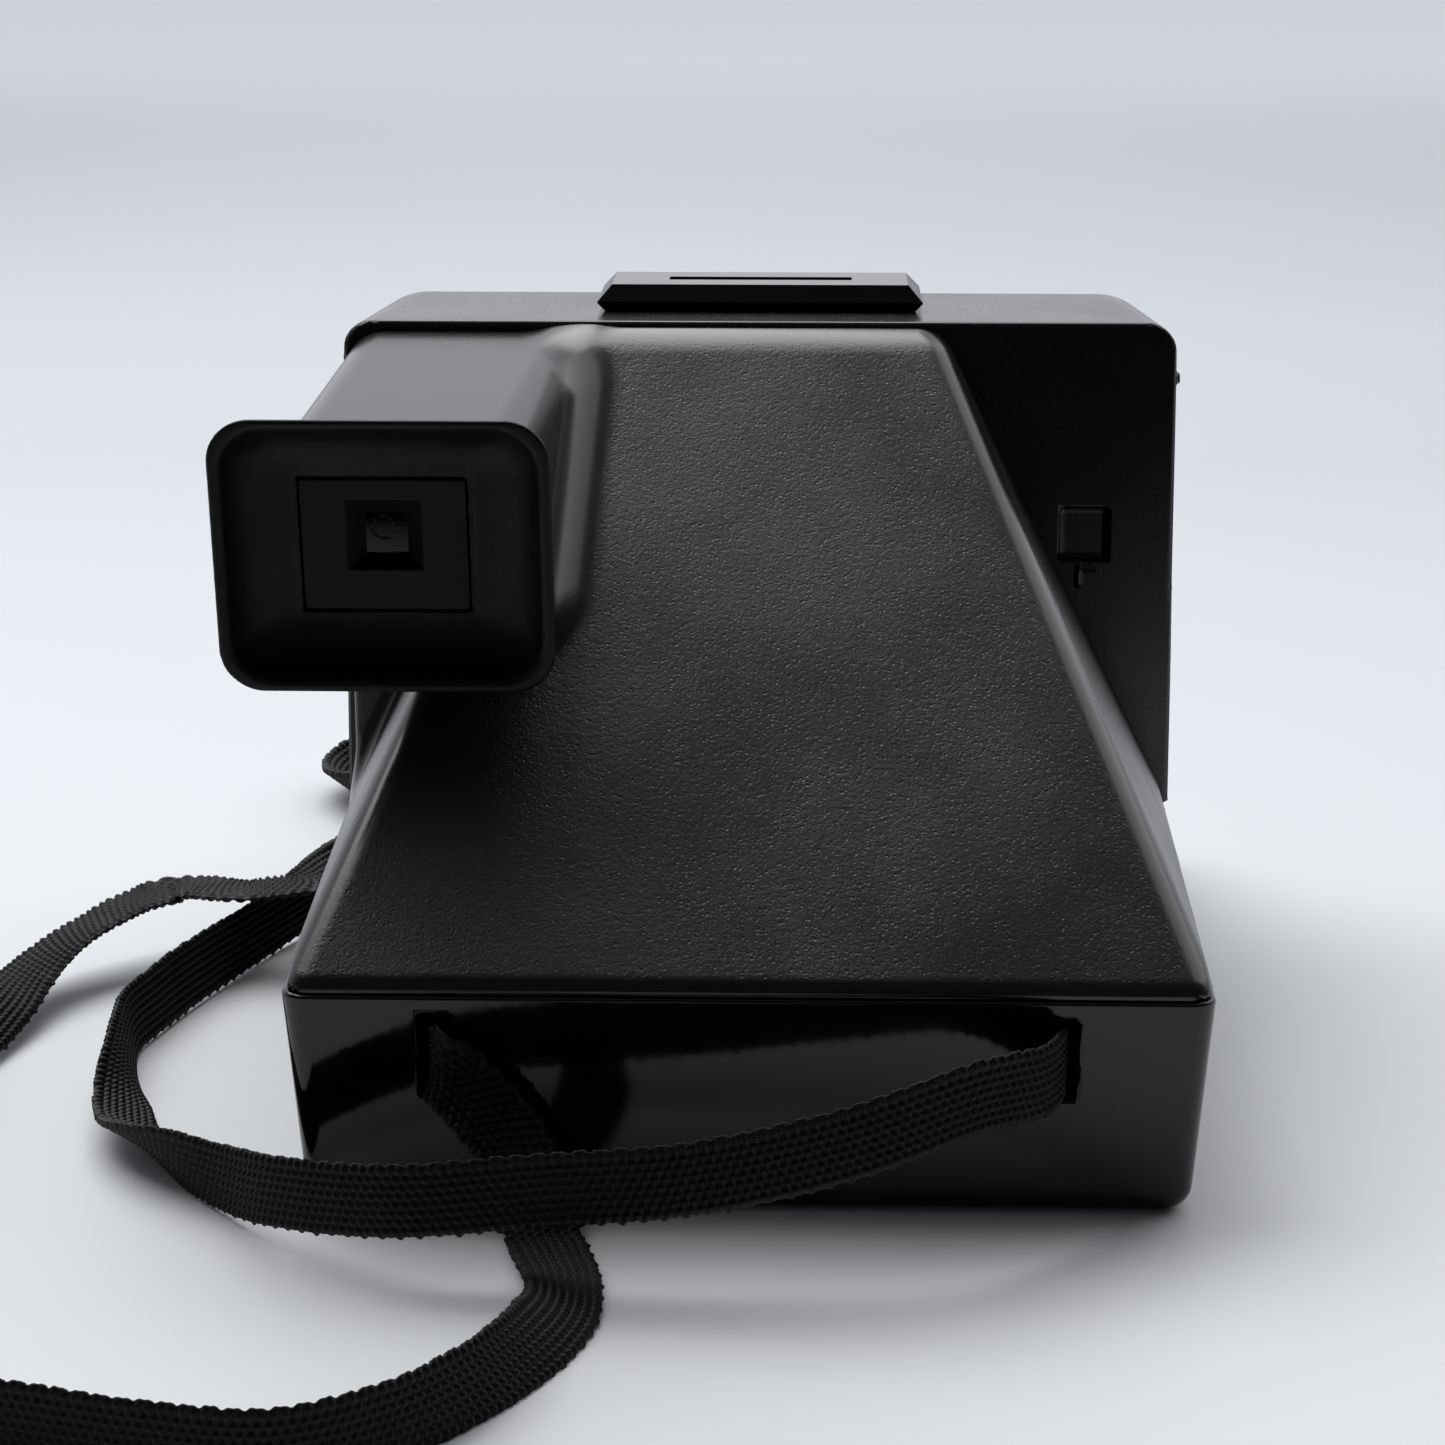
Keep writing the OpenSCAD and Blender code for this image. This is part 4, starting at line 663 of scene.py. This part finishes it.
SLOPE_NORMAL = (0, -math.sin(SLOPE), math.cos(SLOPE))
FLANK_NORMAL = np.cross((FLARE, FLARE_RUN, 0), (CREST_HW - BASE_HW, CREST_Y - REAR, CREST_Z - BASE_TOP))
SLOPE_FACE = half_space((0, REAR, BASE_TOP), SLOPE_NORMAL)
FLANK = half_space((BASE_HW, REAR, BASE_TOP), FLANK_NORMAL)
SKIRT_SIDE = half_space((BASE_HW, REAR, 0), (FLARE_RUN, -FLARE, 0))
HALF_HOOD = (HOOD_H / 2) * np.array([-math.sin(EYE_TILT), math.cos(EYE_TILT)])
HOOD_TOP = leaning((EYE[1] + HALF_HOOD[0], EYE[2] + HALF_HOOD[1]), (HOUSE_REAR, CREST_Z), 1)
HOOD_BOTTOM = leaning((EYE[1] - HALF_HOOD[0], EYE[2] - HALF_HOOD[1]),
                      (HOUSE_REAR, EYE[2] - HOOD_H / 2 - 2), -1)


def eye_frame(x, y, z):
    """World place as across, depth and height in the tilted eyepiece's frame."""
    dy, dz = y - EYE[1], z - EYE[2]
    sin, cos = math.sin(EYE_TILT), math.cos(EYE_TILT)
    return x - EYE[0], dy * cos + dz * sin, dz * cos - dy * sin


def cover_form(x, y, z, reach):
    """The sloped cover with the finder's hood run into it, as one soft form that ends at depth reach."""
    ax = np.abs(x)
    slope = round_and(3.0, SLOPE_FACE(x, y, z) - PROUD, FLANK(ax, y, z) - PROUD, z - CREST_Z - PROUD)
    slope = round_and(1.2, slope, round_and(3.0, SKIRT_SIDE(ax, y, z) - 0.15, REAR + 0.25 - y))
    t = (y - EYE[1]) / (HOUSE_REAR - EYE[1])
    left = (EYE[0] - HOOD_W / 2 + HOOD_SET) * (1 - t) + HOOD_LEFT * t - x
    right = x - (EYE[0] + HOOD_W / 2) * (1 - t) - HOOD_RIGHT * t
    _, depth, _ = eye_frame(x, y, z)
    hood = round_and(5.0, left, HOOD_TOP(x, y, z), right)
    hood = round_and(5.0, hood, HOOD_BOTTOM(x, y, z))
    hood = np.maximum(hood, reach - depth)
    web = block(x, y, z, (HOOD_LEFT, HOUSE_REAR - 6, BASE_TOP - 9),
                (EYE[0] + HOOD_W / 2, HOUSE_REAR + 9, EYE[2]), 1.0)
    return round_or(3.0, round_or(7.0, slope, hood), web)


def cover_field(x, y, z):
    """The cover as an open shell that ends at the base, the housing and the eyepiece."""
    solid = round_and(0.45, cover_form(x, y, z, 0), BASE_TOP + 0.02 - z)
    solid = np.maximum(solid, y - HOUSE_REAR + 0.03)
    return np.maximum(solid, -(cover_form(x, y, z, -9) + WALL))


def grain_mark(points, normals):
    """1 on the flats that carry the pebble, falling to 0 where an edge turns."""
    flank = FLANK_NORMAL / np.linalg.norm(FLANK_NORMAL)
    faces = [np.array(SLOPE_NORMAL), flank, flank * (-1, 1, 1), np.array([1.0, 0, 0]), np.array([-1.0, 0, 0])]
    best = np.max([normals @ (f / np.linalg.norm(f)) for f in faces], axis=0)
    return np.clip((best - 0.955) / 0.035, 0.12, 1)


def cup_field(x, y, z):
    """The soft eyecup: a flared collar with a rolled lip and a funnel down to the frame."""
    u, v, w = eye_frame(x, y, z)
    t = np.clip((-1.0 - v) / (CUP_D - 1.0), 0, 1)
    flare = t ** 1.3
    outer = rounded_square(u - flare * CUP_MID[0], w - flare * CUP_MID[1],
                           (HOOD_W + 3) / 2 + flare * (CUP_W - HOOD_W - 3) / 2,
                           (HOOD_H + 3) / 2 + flare * (CUP_H - HOOD_H - 3) / 2, 5.2 + 0.6 * flare)
    body = round_and(1.0, outer, -v - CUP_D, v - 2.5)
    s = np.clip((-CUP_FLOOR - v) / (CUP_D - CUP_FLOOR), 0.004, 1)
    wide, high = CUP_W / 2 - CUP_LIP, CUP_H / 2 - CUP_LIP
    s = np.sqrt(1 - (1 - s) ** 2) * 0.85 + 0.15 * s
    funnel = rounded_square(u - PLATE_MID[0] - s * (CUP_MID[0] - PLATE_MID[0]),
                            w - PLATE_MID[1] - s * (CUP_MID[1] - PLATE_MID[1]),
                            PLATE_HALF[0] + 1.6 + s * (wide - PLATE_HALF[0] - 1.6),
                            PLATE_HALF[1] + 1.4 + s * (high - PLATE_HALF[1] - 1.4), 2.0 + 3.6 * s)
    funnel = round_and(1.6, funnel, v + CUP_FLOOR)
    body = cut(body, funnel, 0.9)
    socket = np.maximum(rounded_square(u - HOOD_SET / 2, w, (HOOD_W - HOOD_SET) / 2 + 0.06,
                                       HOOD_H / 2 + 0.06 + 0.18 * np.maximum(v, 0), 5), -v)
    body = np.maximum(body, -socket)
    window = np.maximum(rounded_square(u - PLATE_MID[0], w - PLATE_MID[1], PLATE_HALF[0] + 0.16,
                                       PLATE_HALF[1] + 0.16, 0.5), np.abs(v) - 4)
    return cut(body, window, 0.12)


def plate_field(x, y, z):
    """The eyepiece frame with the four-sided pit that leads to the lens."""
    u, v, w = eye_frame(x, y, z)
    outline = rounded_square(u - PLATE_MID[0], w - PLATE_MID[1], *PLATE_HALF, 0.5)
    plate = round_and(0.2, outline, -v - PLATE_FACE, v - 1.2)
    t = np.clip((v + PLATE_FACE) / PIT_DEEP, -0.2, 1.2)
    half_u = PIT_HALF[0] + (PIT_END[0] - PIT_HALF[0]) * t
    half_w = PIT_HALF[1] + (PIT_END[1] - PIT_HALF[1]) * t
    pit = np.maximum(np.abs(u - PIT_MID[0]) - half_u, np.abs(w - PIT_MID[1] + PIT_DROP * t) - half_w) * 0.8
    return cut(plate, pit, 0.08)


def eyelens_field(x, y, z):
    """The eyepiece lens: a shallow dome with its moulded ring."""
    u, v, w = eye_frame(x, y, z)
    a, b = u - PIT_MID[0], w - PIT_MID[1] + PIT_DROP
    dome = np.sqrt(a ** 2 + b ** 2 + (v - LENS_BACK - LENS_R) ** 2) - LENS_R
    ring = np.hypot(np.hypot(a + 0.4, b - 0.9) - 1.5, v - 0.86) - 0.1
    return np.maximum(np.minimum(dome, ring), np.maximum(v - 3, np.maximum(np.abs(a) - 3.6, np.abs(b) - 3.8)))


# ---------------------------------------------------------------- the strap
def smooth_route(points, spacing):
    """The route as evenly spaced places and leans on one smooth curve."""
    p = np.array(points, float)
    chord = np.concatenate([[0], np.cumsum(np.linalg.norm(np.diff(p[:, :3], axis=0), axis=1))])
    m = np.zeros_like(p)
    before, after = np.diff(chord)[:-1], np.diff(chord)[1:]
    rise = np.diff(p, axis=0) / np.diff(chord)[:, None]
    m[1:-1] = (rise[:-1] * after[:, None] + rise[1:] * before[:, None]) / (before + after)[:, None]
    m[0], m[-1] = rise[0], rise[-1]
    s = np.linspace(0, chord[-1], 6000)
    i = np.clip(np.searchsorted(chord, s) - 1, 0, len(p) - 2)
    h = np.diff(chord)[i]
    t = ((s - chord[i]) / h)[:, None]
    h = h[:, None]
    fine = ((2 * t ** 3 - 3 * t ** 2 + 1) * p[i] + (t ** 3 - 2 * t ** 2 + t) * h * m[i]
            + (3 * t ** 2 - 2 * t ** 3) * p[i + 1] + (t ** 3 - t ** 2) * h * m[i + 1])
    run = np.concatenate([[0], np.cumsum(np.linalg.norm(np.diff(fine[:, :3], axis=0), axis=1))])
    count = int(run[-1] / spacing) + 1
    even = np.linspace(0, run[-1], count)
    return np.stack([np.interp(even, run, fine[:, k]) for k in range(4)], 1), even


def strap_ways(route):
    """The ways across the strap's width and through its thickness, at each place on the route."""
    ahead = np.gradient(route[:, :3], axis=0)
    ahead /= np.linalg.norm(ahead, axis=1)[:, None]
    side = np.cross(ahead, (0, 0, 1))
    side /= np.linalg.norm(side, axis=1)[:, None]
    up = np.cross(side, ahead)
    lean = np.radians(route[:, 3])[:, None]
    wide = np.cos(lean) * up + np.sin(lean) * side
    return wide, np.cross(ahead, wide)


STEPS_PER_KNOB, POINTS_PER_ROW = 6, 4
EDGE_V = 0.45  # the side walls turn at this share of half the thickness
KNOB_FILL = 0.38  # half a knob's length as a share of the pitch
SWAYS, SCALLOPS = 160, 900  # how many times the strap wavers, and its edge changes, over its length


def strap_section(rows):
    """Places round the strap's section: u across its width and v through it, from -1 to 1."""
    across = np.linspace(-1, 1, rows * POINTS_PER_ROW + 1)
    shell = [(u, 1) for u in across] + [(1.0, EDGE_V), (1.0, -EDGE_V)]
    shell += [(u, -1) for u in across[::-1]] + [(-1.0, -EDGE_V), (-1.0, EDGE_V)]
    return np.array([q[0] for q in shell])[None, :], np.array([q[1] for q in shell])[None, :]


def strap_mesh(settings):
    """The webbing's surface: staggered knobs of yarn in slanting rows, with scalloped edges."""
    width, thick = settings.width / MM, settings.thickness / MM
    pitch, relief, rows = settings.pitch / MM, settings.relief / MM, settings.rows
    route, run = smooth_route(STRAP_OUT + strap_coil() + STRAP_BACK, pitch / STEPS_PER_KNOB)
    wide, thin = strap_ways(route)
    rng = np.random.default_rng(SEED)
    sway = np.interp(run, np.linspace(0, run[-1], SWAYS), rng.normal(0, 0.12, SWAYS))

    u, v = strap_section(rows)
    s = run[:, None]
    row = (u * 0.4999 + 0.5) * rows
    column = np.floor(row)
    cross = (row - column - 0.5) / 0.5
    slant = np.where(v > 0, column, rows - column) * 0.5
    along = ((s / pitch + slant) % 1.0 - 0.5) / KNOB_FILL
    knob = np.sqrt(np.maximum(0, 1 - cross ** 2 - along ** 2))
    sidewall = np.abs(v) < 1
    height = np.where(sidewall, 0, knob)
    beat = 0.5 + 0.3 * np.cos(np.pi * (s / pitch + (u > 0) * 0.5)) + 0.2 * np.cos(2 * np.pi * s / pitch)
    uneven = np.interp(run, np.linspace(0, run[-1], SCALLOPS), rng.uniform(0.5, 1.15, SCALLOPS))[:, None]
    scallop = np.where(np.abs(u) > 0.9, relief * uneven * beat, 0)
    edge = (np.abs(u) ** 6) * 0.22
    half = width / 2 - relief * 0.8
    spread = u * half + np.sign(u) * scallop + np.where(sidewall, 0.12 * np.sign(u), 0)
    lift = np.sign(v) * (np.where(sidewall, np.abs(v), 1 - edge) * (thick / 2 - relief) + height * relief)
    lift = lift + sway[:, None] * 0.3
    points = (route[:, None, :3] + spread[..., None] * wide[:, None, :]
              + lift[..., None] * thin[:, None, :])
    points[..., 2] = np.maximum(points[..., 2], 0.02)
    rings, ring = points.shape[:2]
    grid = np.arange(rings * ring).reshape(rings, ring)
    nxt = np.roll(grid, -1, axis=1)
    faces = np.stack([grid[:-1], grid[1:], nxt[1:], nxt[:-1]], -1).reshape(-1, 4).tolist()
    faces += [grid[0][::-1].tolist(), grid[-1].tolist()]
    return points.reshape(-1, 3), faces, height.reshape(-1), route, run


# ---------------------------------------------------------------- settings a user would change
class StrapSettings(bpy.types.PropertyGroup):
    """Sizes of the woven strap"""
    width: FloatProperty(name="Width", description="Width of the webbing", default=9.4 * MM, unit="LENGTH")
    thickness: FloatProperty(name="Thickness", description="Thickness over the knobs", default=1.5 * MM,
                             unit="LENGTH")
    pitch: FloatProperty(name="Pitch", description="Distance from knob to knob along the strap",
                         default=1.2 * MM, unit="LENGTH")
    relief: FloatProperty(name="Relief", description="How far each knob stands up", default=0.55 * MM,
                          unit="LENGTH")
    rows: IntProperty(name="Rows", description="Rows of knobs across the width", default=8, min=4, max=16)


class CoverSettings(bpy.types.PropertyGroup):
    """Grain and colour of the sloped cover"""
    grain_size: FloatProperty(name="Grain size", description="Width of one pebble", default=0.42 * MM,
                              unit="LENGTH")
    grain_depth: FloatProperty(name="Grain depth", description="Depth of the etched grain", default=0.12 * MM,
                               unit="LENGTH")
    colour: FloatVectorProperty(name="Colour", description="Colour of the cover's plastic",
                                default=linear("#262120"), subtype="COLOR", size=3, min=0, max=1)


class StageSettings(bpy.types.PropertyGroup):
    """Floor and lamps"""
    floor: FloatVectorProperty(name="Floor", description="Colour of the table near the object",
                               default=linear("#eff1f3"), subtype="COLOR", size=3, min=0, max=1)
    overhead: FloatProperty(name="Overhead lamp", description="Power of the soft lamp over the object",
                            default=9.6, min=0, unit="POWER")
    right: FloatProperty(name="Right lamp", description="Power of the weak lamp that opens the shadows",
                         default=2.6, min=0, unit="POWER")
    # Painted light: strength of the glow painted on the far paper, seen by the camera only
    far: FloatProperty(name="Far paper", description="Tone added to the paper far behind the object",
                       default=0.37, min=0)
    sky: FloatProperty(name="Sky", description="Strength of the even light from all round", default=1.0,
                       min=0)


# ---------------------------------------------------------------- operators
VIEW_LENS, VIEW_PLACE, VIEW_TILT, VIEW_TURN = 79.7, (0.0065, -0.4310, 0.1664), 74, 1.5
TABLE_X, TABLE_Y = (-3, 3, 13), (-2.5, 4.5, 15)
LAMPS = {  # place, aim and size in metres
    "overhead": ((-0.32, 0.46, 0.92), (-0.1, 0.2, 0.0), (1.1, 0.8)),
    "right": ((0.75, 0.5, 0.75), (0.0, 0.0, 0.0), (0.9, 0.9)),
}
SKY_WAY = (-0.1, 0.9, 0.12)  # the even light is strongest from behind the object


class CAMERA_OT_stage(bpy.types.Operator):
    """Makes the camera, the floor and the soft lamps"""
    bl_idname = "instant_camera.stage"
    bl_label = "Stage"

    def execute(self, context):
        settings = context.scene.ic_stage
        context.scene.view_settings.view_transform = "Standard"
        self.view(context)
        self.table(context, settings)
        for name, lamp in LAMPS.items():
            self.lamp(context, name, *lamp, getattr(settings, name))
        self.sky(context, settings)
        return {"FINISHED"}

    def view(self, context):
        """The camera that looks down at the object from behind it"""
        data = bpy.data.cameras.new("view")
        data.sensor_width = 36
        data.lens = VIEW_LENS
        data.clip_start = 0.01
        eye = bpy.data.objects.new("view", data)
        eye.location = VIEW_PLACE
        eye.rotation_euler = (math.radians(VIEW_TILT), 0, math.radians(VIEW_TURN))
        context.scene.collection.objects.link(eye)
        context.scene.camera = eye

    def table(self, context, settings):
        """A flat table of square cells"""
        wide, deep = TABLE_X[2], TABLE_Y[2]
        corners = [(x, y, 0) for y in np.linspace(*TABLE_Y) for x in np.linspace(*TABLE_X)]
        cells = [(wide * j + i, wide * j + i + 1, wide * (j + 1) + i + 1, wide * (j + 1) + i)
                 for j in range(deep - 1) for i in range(wide - 1)]
        mesh = bpy.data.meshes.new("table")
        mesh.from_pydata(corners, [], cells)
        table = bpy.data.objects.new("table", mesh)
        context.scene.collection.objects.link(table)
        mesh.materials.append(paper(settings))

    def lamp(self, context, name, place, aim, size, power):
        """A soft rectangular lamp that is not seen itself"""
        light = bpy.data.lights.new(name, "AREA")
        light.shape = "RECTANGLE"
        light.size, light.size_y = size
        light.energy = power
        piece = bpy.data.objects.new(name, light)
        piece.location = place
        piece.rotation_euler = (Vector(aim) - Vector(place)).to_track_quat("-Z", "Y").to_euler()
        context.scene.collection.objects.link(piece)
        piece.visible_camera = False

    def sky(self, context, settings):
        """Even light that falls off towards the front, before a plain pale backdrop"""
        world = bpy.data.worlds.new("studio")
        context.scene.world = world
        world.use_nodes = True
        tree = world.node_tree
        tree.nodes.clear()
        way = add(tree, "ShaderNodeTexCoord").outputs["Generated"]
        lean = add(tree, "ShaderNodeVectorMath", {0: way, 1: SKY_WAY},
                   operation="DOT_PRODUCT").outputs["Value"]
        fall = add(tree, "ShaderNodeMapRange", {"Value": lean, "From Min": -0.1, "From Max": 0.75,
                                                "To Min": 0.04 * settings.sky,
                                                "To Max": 1.05 * settings.sky}).outputs[0]
        lit = add(tree, "ShaderNodeBackground", {"Color": linear("#f6f8ff", 1), "Strength": fall}).outputs[0]
        pale = add(tree, "ShaderNodeBackground", {"Color": linear("#dfe2e6", 1), "Strength": 1.0}).outputs[0]
        seen = add(tree, "ShaderNodeLightPath").outputs["Is Camera Ray"]
        both = add(tree, "ShaderNodeMixShader", {0: seen, 1: lit, 2: pale}).outputs[0]
        out = add(tree, "ShaderNodeOutputWorld")
        tree.links.new(both, out.inputs[0])


class CAMERA_OT_strap(bpy.types.Operator):
    """Weaves the neck strap along its route"""
    bl_idname = "instant_camera.strap"
    bl_label = "Strap"

    def execute(self, context):
        settings = context.scene.ic_strap
        points, faces, relief, route, run = strap_mesh(settings)
        piece = to_object("neck_strap", points, faces, marks={"relief": relief})
        piece.data.materials.append(webbing())
        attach(piece, "camera_body")
        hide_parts("strap")
        path = route[::8, :3] * MM
        [tuple(float(v) for v in q) for q in path]
        return {"FINISHED"}


KEEPS_ITS_EDGES = {"front_element", "rear_element", "button_spring", "strap", "base_shell", "slope_cover",
                   "front_housing", "eyecup", "eyepiece_plate", "eyepiece_lens"}
EDGE_WIDTHS = {"film_door": 0.6, "flash_socket": 0.3, "front_panel": 0.3, "lens_ring": 0.3}
FINE_EDGE = 0.12


class CAMERA_OT_finishes(bpy.types.Operator):
    """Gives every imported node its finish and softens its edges"""
    bl_idname = "instant_camera.finishes"
    bl_label = "Finishes"

    def execute(self, context):
        make_finishes()
        for key, names in WEARS.items():
            for name in names:
                node = NODES[name]
                for i in range(max(1, len(node.material_slots))):
                    if not node.material_slots:
                        node.data.materials.append(FINISHES[key])
                    node.material_slots[i].material = FINISHES[key]
                if name in KEEPS_ITS_EDGES:
                    continue
                merge = node.modifiers.new("merge", "DECIMATE")
                merge.decimate_type = "DISSOLVE"
                merge.angle_limit = math.radians(0.8)
                soft = node.modifiers.new("soft", "BEVEL")
                soft.width = EDGE_WIDTHS.get(name, FINE_EDGE) * MM
                soft.segments = 2
                soft.limit_method = "ANGLE"
                soft.angle_limit = math.radians(32)
                soft.harden_normals = True
        missing = set(NODES) - {n for names in WEARS.values() for n in names}
        if missing:
            raise RuntimeError(f"nodes with no finish: {sorted(missing)}")
        return {"FINISHED"}


class CAMERA_OT_base(bpy.types.Operator):
    """Moulds the gloss base shell"""
    bl_idname = "instant_camera.base"
    bl_label = "Base shell"

    def execute(self, context):
        moulding("base_moulding", base_field, "base_shell", (0, 0), 0.6, FINISHES["gloss"])
        return {"FINISHED"}


class CAMERA_OT_housing(bpy.types.Operator):
    """Moulds the lens housing"""
    bl_idname = "instant_camera.housing"
    bl_label = "Lens housing"

    def execute(self, context):
        moulding("housing_moulding", housing_field, "front_housing", (0, 0), 0.7, FINISHES["semi"])
        return {"FINISHED"}


class CAMERA_OT_cover(bpy.types.Operator):
    """Moulds the grained cover with its finder hood"""
    bl_idname = "instant_camera.cover"
    bl_label = "Sloped cover"

    def execute(self, context):
        finish = grained_abs(context.scene.ic_cover)
        moulding("cover_moulding", cover_field, "slope_cover", (0, 2), 0.7, finish,
                 grain_mark)
        return {"FINISHED"}


class CAMERA_OT_eyecup(bpy.types.Operator):
    """Moulds the soft eyecup, and the eyepiece's frame and lens within it"""
    bl_idname = "instant_camera.eyecup"
    bl_label = "Eyecup"

    def execute(self, context):
        moulding("eyecup_moulding", cup_field, "eyecup", (2, 2), 0.4, FINISHES["vinyl"])
        moulding("eyepiece_frame", plate_field, "eyepiece_plate", (2, 2), 0.25, FINISHES["styrene"])
        # Painted shade: the eyepiece glass wears the near-black lens finish that stands for the dark finder
        moulding("eyepiece_glass", eyelens_field, "eyepiece_lens", (3, 3), 0.2, FINISHES["smoked_lens"])
        return {"FINISHED"}


class CAMERA_PT_panel(bpy.types.Panel):
    """Lists the pieces in the order they are made"""
    bl_idname = "CAMERA_PT_panel"
    bl_label = "Instant camera"
    bl_space_type = "VIEW_3D"
    bl_region_type = "UI"
    bl_category = "Camera"

    def draw(self, context):
        scene = context.scene
        for group in (scene.ic_stage, scene.ic_strap, scene.ic_cover):
            column = self.layout.column(align=True)
            for key in group.__annotations__:
                column.prop(group, key)
        for operator in OPERATORS:
            self.layout.operator(operator.bl_idname)


OPERATORS = (CAMERA_OT_stage, CAMERA_OT_strap, CAMERA_OT_finishes, CAMERA_OT_base, CAMERA_OT_housing,
             CAMERA_OT_cover, CAMERA_OT_eyecup)
GROUPS = {"ic_strap": StrapSettings, "ic_cover": CoverSettings, "ic_stage": StageSettings}


def register():
    """Registers the classes and hangs the settings on the scene."""
    for cls in (*GROUPS.values(), *OPERATORS, CAMERA_PT_panel):
        bpy.utils.register_class(cls)
    for key, cls in GROUPS.items():
        setattr(bpy.types.Scene, key, PointerProperty(type=cls))


def unregister():
    """Undoes register."""
    for key in GROUPS:
        delattr(bpy.types.Scene, key)
    for cls in (CAMERA_PT_panel, *reversed(OPERATORS), *GROUPS.values()):
        bpy.utils.unregister_class(cls)


def main():
    """Builds every piece in order."""
    register()
    for operator in OPERATORS:
        group, name = operator.bl_idname.split(".")
        getattr(getattr(bpy.ops, group), name)()
    bpy.context.view_layer.update()


if __name__ == "__main__":
    main()
